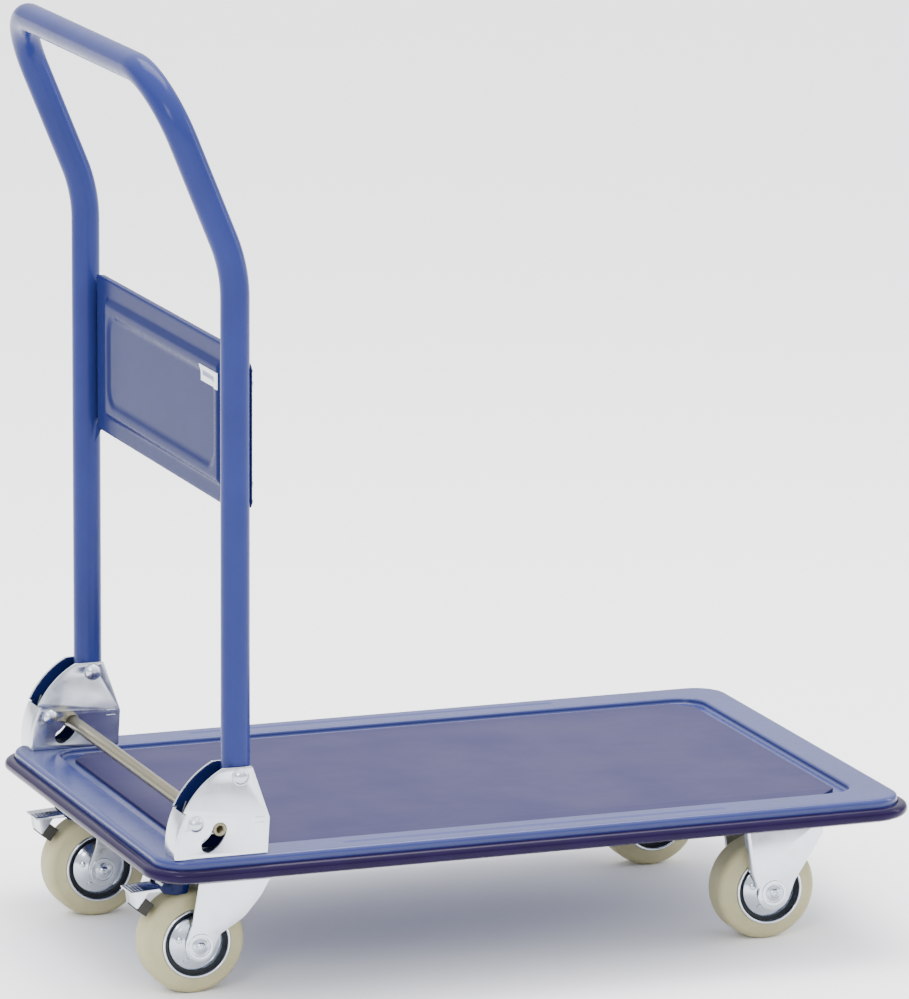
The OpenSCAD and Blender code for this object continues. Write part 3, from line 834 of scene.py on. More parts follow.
class CART_OT_channels(BuildStep, bpy.types.Operator):
    """Hat channels welded under the deck, one over each pair of casters"""
    bl_idname = "cart.channels"
    bl_label = "Cross channels"

    def build(self, sizes):
        for node in ("channel_handle_end", "channel_front_end"):
            low, high = box_mm(node)
            half, t = (high.x - low.x) / 2, 2
            flange, taper = 14, 3
            web, tall = half - flange, high.z - low.z
            sole = web - taper
            outer = [(-half, tall), (-half, tall - t), (-web, tall - t), (-sole, 0),
                     (sole, 0), (web, tall - t), (half, tall - t), (half, tall),
                     (web - t, tall), (sole - t, t), (t - sole, t), (t - web, tall)]
            outline = softened(outer, [0, 0, 3, 5, 5, 3, 0, 0, 1, 3, 3, 1], 4)
            bm = bmesh.new()
            centre = (low + high) / 2
            add_plate(bm, [outline], high.y - low.y,
                      move(centre.x, 0, low.z) @ UPRIGHT, 0.3)
            finish_piece(bm, node.replace("channel", "hat_channel"), "blue stove enamel",
                         "platform", [node])


# ---------- hinge brackets ----------


class Bracket:
    """Lines of the hinge bracket in its own plane: x from its back foot, z from the rim."""
    back = (87.2, 7.4)
    back_radius = 87.0
    sole, web_top, cheek_top = 0.2, 44.0, 84.5
    pivot = (64.5, 75.0)
    spring = (20.5, 33.0)
    release_radius = 24.5
    rest_angle, pressed_angle = -16.0, -60.0
    slot_half = 6.95

    @staticmethod
    def foot(side):
        """Start of the bracket's own plane, midway between its cheeks."""
        low, high = box_mm(f"bracket_{side}")
        return Vector((low.x - 0.5, (low.y + high.y) / 2, low.z))

    @classmethod
    def back_angle(cls, z, radius=back_radius):
        """Angle about the centre of the curved back at which its arc reaches height z."""
        return 180 - math.degrees(math.asin((z - cls.back[1]) / radius))

    @classmethod
    def slot(cls):
        r, half, c = cls.release_radius, cls.slot_half, cls.spring
        first, last = cls.rest_angle, cls.pressed_angle
        ends = [arc(c, r, a, a, 1)[0] for a in (first, last)]
        outline = arc(c, r + half, last, first, 8)
        outline += arc(ends[0], half, first, first + 180, 10)[1:]
        outline += arc(c, r - half, first, last, 8)[1:]
        outline += arc(ends[1], half, last + 180, last + 360, 10)[1:-1]
        return outline

    @classmethod
    def holes(cls, room=0.0):
        """Outlines of the two bolt holes, wider by room, and of the slot."""
        return [disc(cls.pivot, 5.1 + room), disc(cls.spring, 4.1 + room), cls.slot()]

    # Outline of the thin navy sheet laid inside each cheek: painted shade for the bracket's
    # dark inside
    @classmethod
    def painted_shade_outline(cls):
        low, high = 2.4, 83.6
        outline = softened([(60, low), (89.6, low), (91.8, 34.4), (75.4, high), (60, high)],
                           [0, 0.6, 5, 3, 0], 5)
        for radius, top, foot in ((cls.back_radius - 0.9, high, 45.4), (83.0, 45.0, low)):
            ends = [cls.back_angle(z, radius) for z in (top, foot)]
            outline += arc(cls.back, radius, *ends, 14)
        return outline

    @classmethod
    def cheek(cls, bend):
        step = cls.back_radius - bend
        top = cls.back_angle(cls.cheek_top)
        relief = cls.back_angle(cls.web_top + 1)
        outline = [(91, cls.sole), (93, 34.5), (76, cls.cheek_top), (60, cls.cheek_top),
                   (60, cls.sole)]
        outline = softened(outline, [0.6, 5, 3, 0, 0], 5)[:-2]
        outline += arc(cls.back, cls.back_radius, top, relief, 16)
        low_turn = cls.back_angle(cls.sole, step)
        outline += arc(cls.back, step - 0.02, relief + 0.3, low_turn, 12)
        return outline


class CART_OT_brackets(BuildStep, bpy.types.Operator):
    """Hinge brackets: two cheeks, a curved back web, a base and the stop for the leg, with
    a thin navy sheet inside each cheek as painted shade
    """
    bl_idname = "cart.brackets"
    bl_label = "Hinge brackets"

    def build(self, sizes):
        t, bend = sizes.cheek / MM, sizes.bracket_bend / MM
        for side in SIDES:
            low, high = box_mm(f"bracket_{side}")
            half = (high.y - low.y) / 2
            at = move(*Bracket.foot(side))
            bm = bmesh.new()
            for k in (-1, 1):
                add_plate(bm, [Bracket.cheek(bend), *Bracket.holes()], t,
                          at @ move(y=k * (half - t / 2)) @ UPRIGHT, 0.35)
            fold, flat, web_steps = bend - t, Bracket.back_radius - bend, 18
            section = arc((flat, half - bend), bend, 90, 0, 5)
            section += arc((flat, bend - half), bend, 0, -90, 5)
            section += arc((flat, bend - half), fold, -90, 0, 4)
            section += arc((flat, half - bend), fold, 0, 90, 4)
            rings = []
            for i in range(web_steps + 1):
                z = Bracket.sole + (Bracket.web_top - Bracket.sole) * i / web_steps
                turn = math.radians(Bracket.back_angle(z))
                n = Vector((math.cos(turn), math.sin(turn)))
                ring = [(Vector(Bracket.back) + n * off, y) for off, y in section]
                rings.append([(p.x, y, p.y) for p, y in ring])
            add_loft(bm, rings, at)
            add_plate(bm, [rectangle(3.2, t - half + 0.05, 89, half - t - 0.05)], t,
                      at @ move(z=t / 2 + 0.02), 0.3)
            block = softened(rectangle(79, 29, 87.5, 36), 1.2, 3)
            add_plate(bm, [block], 2 * (half - t) - 0.1, at @ UPRIGHT, 0.4)
            # the block's tabs show through two slits in each cheek
            for k in (-1, 1):
                for z in (30, 35):
                    tab = softened(rectangle(78.5, z - 0.7, 88, z + 0.7), 0.5, 2)
                    add_plate(bm, [tab], 1.4,
                              at @ move(y=k * (half - 0.35)) @ UPRIGHT, 0.25)
            finish_piece(bm, f"hinge_bracket_{side}", "zinc plated sheet", "platform",
                         [f"bracket_{side}"], 32)
            # a thin navy sheet inside each cheek, painted shade that darkens the bracket's
            # shadowed inside
            bm = bmesh.new()
            for k in (-1, 1):
                add_plate(bm, [Bracket.painted_shade_outline(), *Bracket.holes(room=0.5)], 0.3,
                          at @ move(y=k * (half - t - 0.15)) @ UPRIGHT, 0.05)
            finish_piece(bm, f"wear_lining_{side}", "navy stove enamel", "platform", (), 32)


class CART_OT_bracket_bolts(BuildStep, bpy.types.Operator):
    """Round headed bolts through the brackets, and the screws that hold them down"""
    bl_idname = "cart.bracket_bolts"
    bl_label = "Bracket bolts"

    def build(self, sizes):
        for node, shank, head in (("pivot_bolts", 5, 17), ("spring_bolts", 4, 16)):
            x, _, z = middle(node)
            bm = bmesh.new()
            for side in SIDES:
                b_low, b_high = box_mm(f"bracket_{side}")
                y, half = (b_low.y + b_high.y) / 2, (b_high.y - b_low.y) / 2
                outline = [(0, -half), (shank, -half), (shank, half), (0, half)]
                add_turned(bm, outline, move(x, y, z) @ UPRIGHT, 32)
                for k in (-1, 1):
                    face = spin(90 * -k, "X")
                    washer = [(shank, 0), (head / 2, 0), (head / 2, 0.9), (shank, 0.9)]
                    place = move(x, y + k * half, z) @ face
                    add_turned(bm, washer, place, 48)
                    dome = [(r, h + 0.9) for r, h in dome_outline(head - 2, 4.1, 0.5)]
                    add_turned(bm, dome, place, 48)
            finish_piece(bm, node.replace("bolts", "round_bolts"), "zinc plated bolts",
                         "platform", [node], 30)
        points = []
        for side in SIDES:
            points += [Bracket.foot(side) + Vector((x, 0, 0)) for x in (14, 78)]
        item = bmesh.new()
        add_turned(item,
                   [(r, h + 2) for r, h in dome_outline(12, 2.9, 0.6, pit=2.4)], sides=40)
        add_turned(item, [(0, -8.8), (2.5, -8.8), (3, -8.3), (3, 2), (0, 2)], sides=24)
        add_prism(item, 6, 10, -6.6, -1.7)
        mesh = copies_of(item, "bracket_screw_set", "zinc plated bolts", points)
        grown_piece(mesh, "bracket_screw_set", "zinc plated bolts", "platform",
                    ["bracket_screws"], 30)


class CART_OT_springs(BuildStep, bpy.types.Operator):
    """Torsion springs on the spring bolts, either side of the release arms"""
    bl_idname = "cart.springs"
    bl_label = "Torsion springs"

    def build(self, sizes):
        bolt = middle("spring_bolts")
        coil = grown("coil", "coil spring", {
            "Turns": 4.25, "Coil radius": 6 * MM, "Length": 7.5 * MM,
            "Wire radius": 0.9 * MM, "Leg": -15 * MM,
            "Finish": finish("oiled spring steel")})
        bm = bmesh.new()
        for side in SIDES:
            y = Bracket.foot(side).y
            for k in (-1, 1):
                part = bmesh.new()
                part.from_mesh(coil)
                part.transform(Matrix.Scale(1 / MM, 4))
                if k < 0:
                    part.transform(Matrix.Scale(-1, 4, (0, 0, 1)))
                add_part(bm, part,
                         move(bolt.x, y - k * 3.2, bolt.z) @ UPRIGHT @ spin(160, "Z"))
        bpy.data.meshes.remove(coil)
        finish_piece(bm, "coil_springs", "oiled spring steel", "platform",
                     ["torsion_springs"], 40)


# ---------- release ----------


class CART_OT_release(BuildStep, bpy.types.Operator):
    """Cross tube that the foot presses, with its two arms in the brackets"""
    bl_idname = "cart.release"
    bl_label = "Release bar"

    def build(self, sizes):
        low, high = box_mm("release_tube")
        x, z = (low.x + high.x) / 2, (low.z + high.z) / 2
        path = [Vector((x, low.y + (high.y - low.y) * i / 6, z)) * MM for i in range(7)]
        mesh = grown("foot_tube", "tube on path", {
            "Radius": (high.z - low.z) / 2 * MM, "Sides": 48,
            "Finish": finish("yellow passivated tube")}, path,
            [(i, i + 1) for i in range(6)])
        tube = grown_piece(mesh, "foot_tube", "yellow passivated tube", "release_bar",
                           ["release_tube"], 40)
        solidify(tube, 2.6)
        rest = math.radians(Bracket.rest_angle)
        boss = Vector(Bracket.spring)
        grip = boss + Bracket.release_radius * Vector((math.cos(rest), math.sin(rest)))
        outline = arc(boss, 7.5, 100, 228, 10) + arc(grip, 8.3, 228, 460, 16)
        holes = [disc(boss, 4.05, 24), disc(grip, 6.37, 32)]
        bm = bmesh.new()
        for side in SIDES:
            add_plate(bm, [outline, *holes], 4, move(*Bracket.foot(side)) @ UPRIGHT, 0.4)
        finish_piece(bm, "release_arm_pair", "zinc plated sheet", "release_bar",
                     ["release_arms"], 32)


# ---------- handle ----------


class CART_OT_handle(BuildStep, bpy.types.Operator):
    """Bent tube hoop with the sleeves it turns on"""
    bl_idname = "cart.handle"
    bl_label = "Handle tube"

    def build(self, sizes):
        low, high = box_mm("handle_tube")
        x0, _, z0 = middle("pivot_sleeves")
        leg = Bracket.foot("left").y
        radius = high.y - leg
        up, lean = sizes.bend_up / MM, sizes.lean
        bend, corner = sizes.bend_radius / MM, sizes.corner_radius / MM
        grip = sizes.grip_up / MM
        reach = bend * math.tan(lean / 2)
        side = [Vector((0, leg, low.z - z0))]
        for i in range(1, 13):
            side.append(Vector((0, leg, low.z - z0 + (up - reach - low.z + z0) * i / 13)))
        for i in range(13):
            a = lean * i / 12
            side.append(Vector((bend * (math.cos(a) - 1), leg,
                                up - reach + bend * math.sin(a))))
        along = Vector((-math.sin(lean), 0, math.cos(lean)))
        knee = Vector((0, leg, up))
        for i in range(1, 5):
            side.append(knee + along * (reach + (grip - corner - reach) * i / 5))
        for i in range(19):
            a = math.radians(90 * i / 18)
            p = knee + along * (grip - corner + corner * math.sin(a))
            side.append(p + Vector((0, corner * (math.cos(a) - 1), 0)))
        path = side + [Vector((p.x, p.y * k, p.z)) for k in (0.6, 0.2) for p in side[-1:]]
        path += [Vector((p.x, -p.y, p.z)) for p in reversed(path)]
        points = [(p + Vector((x0, 0, z0))) * MM for p in path]
        mesh = grown("bent_tube", "tube on path", {
            "Radius": radius * MM, "Sides": 64, "Finish": finish("blue stove enamel")},
            points, [(i, i + 1) for i in range(len(points) - 1)])
        tube = grown_piece(mesh, "bent_tube", "blue stove enamel", "handle",
                           ["handle_tube"], 45)
        solidify(tube, sizes.tube_wall / MM)
        bm = bmesh.new()
        for k in (-1, 1):
            half = radius + 0.4
            ring = [(5.05, -half), (6.6, -half), (7, -half + 0.4), (7, half - 0.4),
                    (6.6, half), (5.05, half)]
            add_turned(bm, ring, move(x0, k * leg, z0) @ UPRIGHT, 40)
        finish_piece(bm, "bearing_sleeves", "zinc plated bolts", "handle",
                     ["pivot_sleeves"], 30)


class CART_OT_panel(BuildStep, bpy.types.Operator):
    """Pressed panel between the legs, with its screws and sticker"""
    bl_idname = "cart.panel"
    bl_label = "Handle panel"

    def build(self, sizes):
        low, high = box_mm("handle_panel")
        screws_low, screws_high = box_mm("panel_screws")
        label_low, label_high = box_mm("label_sticker")
        sheet = 1.2
        front = label_high.x + sizes.field_out / MM
        back = high.x - sheet
        zc, half_z = (low.z + high.z) / 2, (high.z - low.z) / 2
        field_y, field_z, out = 174.2, 59.7, sizes.field_out / MM
        flange_y, flange_z = high.y, half_z - 8
        ys = [-flange_y + 2 * flange_y * i / 228 for i in range(229)]
        vs = [-1 + 2 * i / 76 for i in range(77)]
        hem, hem_radius = 4.5, 1.8
        field_corner, field_slope = 9, 7
        dish_inset, dish_corner, dish_depth, dish_slope = 34, 22, 2.0, 8

        def place(y, v, fold=0.0):
            leg = smooth_step(abs(y), 203, 212)
            tall = half_z + (flange_z - half_z) * smooth_step(abs(y), 204, 209)
            over = max(0.0, abs(y) - (flange_y - 7))
            tall -= 7 - math.sqrt(max(0.0, 49 - over * over))
            z = v * tall
            inside = past_rectangle(y, z, field_y, field_z, field_corner, field_corner)
            raised = out * smooth_step(-inside, 0, field_slope)
            deep = past_rectangle(y, z, field_y, field_z, dish_inset, dish_corner)
            dished = dish_depth * smooth_step(-deep, 0, dish_slope)
            x = front + (back - front) * leg - raised + dished
            if fold:
                turn = min(fold, 1.0) * math.pi / 2
                fade = 1 - smooth_step(abs(y), 198, 203)
                x += (hem_radius * (1 - math.cos(turn)) + max(0.0, fold - 1) * hem) * fade
                if fold < 1:
                    z -= math.copysign(hem_radius * (1 - math.sin(turn)), v) * fade
            return (x, y, zc + z)

        rows = []
        for fold in (2.0, 1.0, 0.66, 0.33):
            rows.append([place(y, -1, fold) for y in ys])
        for v in vs:
            shrink = 1 - hem_radius / half_z
            rows.append([place(y, v * (shrink if abs(y) < 199 else 1)) for y in ys])
        for fold in (0.33, 0.66, 1.0, 2.0):
            rows.append([place(y, 1, fold) for y in ys])
        bm = bmesh.new()
        add_grid(bm, rows)
        # the panel's finish is the handle's blue made darker, as painted shade
        panel = finish_piece(bm, "pressed_panel", "blue sheet enamel", "handle",
                             ["handle_panel"], 60)
        solidify(panel, sheet)

        item = bmesh.new()
        face = spin(90, "Y")
        add_turned(item, dome_outline(9, 2.9, 0.5, pit=1.5), face, 32)
        add_turned(item, [(0, -6.5), (1.6, -6.5), (2, -6), (2, 0), (0, 0)], face, 20)
        head_radius = 4.5
        z = (screws_low.z + screws_high.z) / 2
        half_y = (screws_high.y - screws_low.y) / 2 - head_radius
        dz = (screws_high.z - screws_low.z) / 2 - head_radius
        points = [(high.x, y, z + rise) for y, rise in four_corners(half_y, dz)]
        mesh = copies_of(item, "panel_screw_set", "zinc plated bolts", points)
        grown_piece(mesh, "panel_screw_set", "zinc plated bolts", "handle",
                    ["panel_screws"], 30)

        # the sticker lies on the pressing, and follows its slopes
        film_gap = 0.25
        ys = [label_low.y + (label_high.y - label_low.y) * k / 36 for k in range(37)]
        zs = [label_low.z + (label_high.z - label_low.z) * i / 12 - zc for i in range(13)]
        bm = bmesh.new()
        add_grid(bm, [[(place(y, z / half_z)[0] - film_gap, y, zc + z) for y in ys]
                      for z in zs])
        sticker = finish_piece(bm, "sticker", "printed label film", "handle",
                               ["label_sticker"], 60)
        solidify(sticker, 0.1)


# ---------- casters ----------


def saddle_strip(bm, x_low, x_high, top, half, t, place, outer=4.0):
    """Folds between a fork's bridge and its legs."""
    for k in (-1, 1):
        section = arc((k * (half - outer), top - outer), outer, 90, 90 - 90 * k, 5)
        section += arc((k * (half - outer), top - outer), outer - t, 90 - 90 * k, 90, 4)
        rings = [[(x, y, z) for y, z in section] for x in (x_low, x_high)]
        add_loft(bm, rings, place)


def add_eye_ring(bm, place):
    """Pressed ring that stiffens the eye of the axle."""
    add_turned(bm, [(9.5, 0), (12.6, 0), (12.2, 0.7), (9.9, 0.7)], place, 48)


def add_axle_bolt(bm, place, half):
    """Axle bolt with a round flanged head at -y and a nut at +y."""
    add_turned(bm, [(0, -half), (5, -half), (5, half), (0, half)], place @ UPRIGHT, 32)
    near = place @ move(y=-half) @ spin(90, "X")
    add_turned(bm, dome_outline(15.5, 2.6, 1.0), near, 48)
    add_turned(bm,
               [(r, h + 1.6) for r, h in dome_outline(9.5, 3.2, 1.2, pit=2.2)], near, 40)
    far = place @ move(y=half) @ spin(-90, "X")
    add_turned(bm, [(5, 0), (7.7, 0), (7.7, 1.5), (5, 1.5)], far, 48)
    add_prism(bm, 6, 12, 1.6, 7.4, far)
    add_turned(bm, [(0, 7.2), (4.4, 7.2), (4.2, 7.5), (0, 7.5)], far, 24)


class CART_OT_swivel_forks(BuildStep, bpy.types.Operator):
    """Swivel forks with crown, lower race, axle bolt and the ring of balls"""
    bl_idname = "cart.swivel_forks"
    bl_label = "Swivel forks"

    def build(self, sizes):
        t = sizes.fork_sheet / MM
        for side in SIDES:
            node = f"swivel_fork_{side}"
            low, high = box_mm(node)
            wheel = middle(f"tyre_rear_{side}")
            pivot = middle(f"race_balls_{side}")
            half = (high.y - low.y) / 2
            crown = high.z - 1.5
            at = move(pivot.x, pivot.y, 0)
            back = wheel.x - pivot.x
            leg = [(-36.4, crown - 4), (-43, 72), (-49, 56)]
            leg += arc((back, wheel.z), 14.5, 178, 322, 14)
            leg += [(-16, 60), (8, 74.5), (25, 94), (34.6, crown - 4)]
            leg = softened(leg, [0.5, 20, 12] + [0] * 15 + [9, 30, 30, 0.5], 4)
            bm = bmesh.new()
            for k in (-1, 1):
                add_plate(bm, [leg, disc((back, wheel.z), 5.1, 28)], t,
                          at @ move(y=k * (half - t / 2)) @ UPRIGHT, 0.5)
                add_eye_ring(bm, at @ move(back, k * half, wheel.z) @ spin(-90 * k, "X"))
            crown_sheet = [rectangle(-36, -half + 4, 36, half - 4), disc((0, 0), 6.1)]
            add_plate(bm, crown_sheet, 3, at @ move(z=crown - 1.5), 0.2)
            saddle_strip(bm, -36.2, 35.2, crown, half, t, at)
            race = [(20, crown - 0.2), (33, crown - 0.2), (33, crown + 1.2),
                    (29, crown + 1.5),
                    (26, crown + 0.6), (23, crown + 1.5), (20, crown + 1.5)]
            add_turned(bm, race, at, 72)
            finish_piece(bm, f"swivel_yoke_{side}", "zinc plated sheet", f"swivel_{side}",
                         [node], 32)

            mesh = grown("balls", "ball ring", {
                "Count": 20, "Ring radius": 26 * MM, "Ball radius": 2.5 * MM,
                "Finish": finish("oiled spring steel")})
            mesh.transform(Matrix.Translation(pivot * MM))
            grown_piece(mesh, f"ball_ring_{side}", "oiled spring steel", f"swivel_{side}",
                        [f"race_balls_{side}"], 60)
            bm = bmesh.new()
            add_axle_bolt(bm, move(*wheel), half)
            finish_piece(bm, f"swivel_axle_bolt_{side}", "zinc plated bolts",
                         f"swivel_{side}",
                         [f"swivel_axle_{side}"], 30)


class CART_OT_swivel_plates(BuildStep, bpy.types.Operator):
    """Top plates, cups and kingpins of the swivel casters, and all plate bolts"""
    bl_idname = "cart.swivel_plates"
    bl_label = "Top plates and bolts"

    def build(self, sizes):
        points, long_points = [], []
        for side in SIDES:
            node = f"swivel_plate_{side}"
            low, high = box_mm(node)
            centre = (low + high) / 2
            half_x, half_y = (high.x - low.x) / 2, (high.y - low.y) / 2
            balls = box_mm(f"race_balls_{side}")[1].z
            crown = box_mm(f"swivel_fork_{side}")[1].z - 1.5
            at = move(centre.x, centre.y, 0)
            corners = four_corners(*SWIVEL_BOLTS)
            points += [(centre.x + i, centre.y + j, high.z) for i, j in corners]
            bm = bmesh.new()
            sheet = softened(rectangle(-half_x, -half_y, half_x, half_y), 8, 6)
            add_plate(bm, [sheet] + [disc(c, 4, 20) for c in corners], PLATE,
                      at @ move(z=high.z - PLATE / 2), 0.4)
            cup = [(20, high.z - 3), (20, balls + 0.3), (23, balls + 0.3),
                   (26, balls + 0.9),
                   (29, balls + 0.3), (30.4, balls + 0.3), (31, balls + 0.9),
                   (31, high.z - 3)]
            add_turned(bm, cup, at, 72)
            pin = [(0, high.z - 2.8), (0, low.z), (4.8, low.z), (6, low.z + 1),
                   (6, high.z - 2.8)]
            add_turned(bm, pin, at, 32)
            add_prism(bm, 6, 19, crown - 9.6, crown - 3.35, at, 0.8)
            finish_piece(bm, f"caster_plate_{side}", "zinc plated sheet", "platform",
                         [node], 32)
            fixed_x = middle(f"fixed_fork_{side}").x
            long_points += [(fixed_x + i, centre.y + j, high.z)
                            for i, j in four_corners(*FIXED_BOLTS)]
        for name, stack, places, node in (("plate_bolt_set", 3.0, points, ["caster_bolts"]),
                                          ("bridge_bolt_set", 5.5, long_points, [])):
            item = bmesh.new()
            add_prism(item, 6, 12, -stack - 4, -stack)
            add_turned(item,
                       [(0, -stack), (4, -stack), (4, 11.4), (3.4, 12), (0, 12)], sides=24)
            add_prism(item, 6, 13, 2, 8)
            mesh = copies_of(item, name, "zinc plated bolts", places)
            grown_piece(mesh, name, "zinc plated bolts", "platform", node, 30)


class CART_OT_fixed_forks(BuildStep, bpy.types.Operator):
    """Fixed forks with their plates, folded edges and axle bolts"""
    bl_idname = "cart.fixed_forks"
    bl_label = "Fixed forks"

    def build(self, sizes):
        t = sizes.fork_sheet / MM
        for side in SIDES:
            node = f"fixed_fork_{side}"
            low, high = box_mm(node)
            wheel = middle(f"tyre_front_{side}")
            half = 33.0
            top = high.z - PLATE
            at = move(wheel.x, wheel.y, 0)
            plate_x = (low.x + high.x) / 2 - wheel.x
            bm = bmesh.new()
            corners = [(plate_x + i, j) for i, j in four_corners(*FIXED_BOLTS)]
            half_x, half_y = (high.x - low.x) / 2, (high.y - low.y) / 2
            sheet = softened(rectangle(plate_x - half_x, -half_y, plate_x + half_x,
                                       half_y), 8, 6)
            add_plate(bm, [sheet] + [disc(c, 4, 20) for c in corners], PLATE,
                      at @ move(z=high.z - PLATE / 2), 0.4)
            bridge = [rectangle(-30, -half + 4, 51.5, half - 4)]
            add_plate(bm, bridge + [disc(c, 4, 20) for c in corners], t,
                      at @ move(z=top - t / 2), 0.2)
            saddle_strip(bm, -30, 51.5, top, half, t, at)
            fold = 3.5
            leg = [(-30.6 + fold, top - 4), (-23 + fold, 70), (-18.2 + fold, 55)]
            leg += arc((0, wheel.z), 17, 190, 335, 14)
            leg += [(22, 61), (37, 84), (50.5, 106), (51.5, top - 4)]
            leg = softened(leg, [0.3, 10, 5] + [0] * 15 + [20, 30, 10, 0.5], 4)
            edge_line = [(-30.6, top - 1), (-23.2, 71), (-20.2, 62), (-18.6, 56)]
            for k in (-1, 1):
                add_plate(bm, [leg, disc((0, wheel.z), 5.1, 28)], t,
                          at @ move(y=k * (half - t / 2)) @ UPRIGHT, 0.5)
                add_eye_ring(bm, at @ move(0, k * half, wheel.z) @ spin(-90 * k, "X"))
                rings = []
                for (x, z), depth in zip(edge_line, (8, 8, 6, 3.6)):
                    bend = arc((x + fold, half - fold), fold, 90, 180, 5)
                    bend += [(x, half - depth), (x + t, half - depth)]
                    bend += arc((x + fold, half - fold), fold - t, 180, 90, 4)
                    rings.append([(bx, k * by, z) for bx, by in bend])
                add_loft(bm, rings, at)
            finish_piece(bm, f"fixed_yoke_{side}", "zinc plated sheet",
                         "platform", [node], 32)
            bm = bmesh.new()
            add_axle_bolt(bm, move(*wheel), half)
            finish_piece(bm, f"fixed_axle_bolt_{side}", "zinc plated bolts", "platform",
                         [f"fixed_axle_{side}"], 30)


def both_faces(edge):
    """Outline of a wheel part from the half of it that shows on one face."""
    return edge + [(r, -h) for r, h in reversed(edge)]


class CART_OT_wheels(BuildStep, bpy.types.Operator):
    """Tyres, rims, near-black rings painted as the shade in their grooves, and domed hubs
    of the four wheels
    """
    bl_idname = "cart.wheels"
    bl_label = "Wheels"

    def build(self, sizes):
        shoulder = sizes.tyre_shoulder / MM
        rivet_ring = 18.6
        rivet = [(0, -0.4), (3.2, -0.4), (2.6, 0.5), (1.4, 0.9), (0, 1.0)]
        for end in ENDS:
            for side in SIDES:
                name = f"{end}_{side}"
                low, high = box_mm(f"tyre_{name}")
                centre = (low + high) / 2
                radius, half = (high.z - low.z) / 2, (high.y - low.y) / 2
                place = move(*centre) @ UPRIGHT
                body = f"wheel_{name}"
                bore, crown = 33.5, 9.5
                edge = [(bore, half - 0.6), (bore + 0.6, half), (bore + 2.5, half - 0.6),
                        (radius - shoulder, crown + shoulder)]
                edge += arc((radius - shoulder, crown), shoulder, 90, 0, 10)[1:]
                bm = bmesh.new()
                add_turned(bm, both_faces(edge), place, 128)
                finish_piece(bm, f"tyre_ring_{name}", "grey tyre rubber", body,
                             [f"tyre_{name}"], 30)

                rim_high = box_mm(f"rim_{name}")[1].y - centre.y
                lip = 1.25
                edge = [(bore, 18)] + arc((bore - lip, rim_high - lip), lip, 0, 180, 8)
                edge += [(bore - 2 * lip, 12.5), (bore - 3.4, 10.2), (22, 2), (9.2, 2)]
                bm = bmesh.new()
                add_turned(bm, both_faces(edge), place, 96)
                finish_piece(bm, f"pressed_rim_{name}", "zinc plated sheet", body,
                             [f"rim_{name}"], 30)

                # near-black rings in the groove between rim and hub: painted shade for the
                # groove's dark depth
                bm = bmesh.new()
                for k in (-1, 1):
                    groove_shade = [(26.4, k * 6), (30.9, k * 12.4), (30.9, k * 14.2),
                            (29, k * 14.8),
                            (26.4, k * 14.8)]
                    add_turned(bm, groove_shade, place, 96)
                finish_piece(bm, f"dust_seals_{name}", "black seal rubber", body, (), 30)

                hub_low, hub_high = box_mm(f"hub_{name}")
                hub_half = (hub_high.y - hub_low.y) / 2
                dome = 45.0

                def lift(r):
                    return math.sqrt(dome * dome - r * r) - 18

                cap = [(r, lift(r)) for r in (9.6, 12, 14.5, 17, 19.5, 22, 24)]
                cap += arc((25, lift(25) - 1.4), 1.5, 60, 0, 4)
                edge = [(5.05, hub_half), (8.2, hub_half), (9, hub_half - 0.8),
                        (9, cap[0][1] + 0.6)]
                edge += cap + [(26.4, 2.2)]
                bm = bmesh.new()
                add_turned(bm, both_faces(edge), place, 96)
                for k in (-1, 1):
                    flip = spin(0 if k > 0 else 180, "X")
                    for i in range(5):
                        tilt = math.degrees(math.asin(rivet_ring / dome))
                        turn = spin(72 * i + 20,
                                    "Z") @ move(rivet_ring, 0, lift(rivet_ring))
                        add_turned(bm, rivet, place @ flip @ turn @ spin(tilt, "Y"), 24)
                finish_piece(bm, f"domed_hub_{name}", "zinc plated hub", body,
                             [f"hub_{name}"], 30)


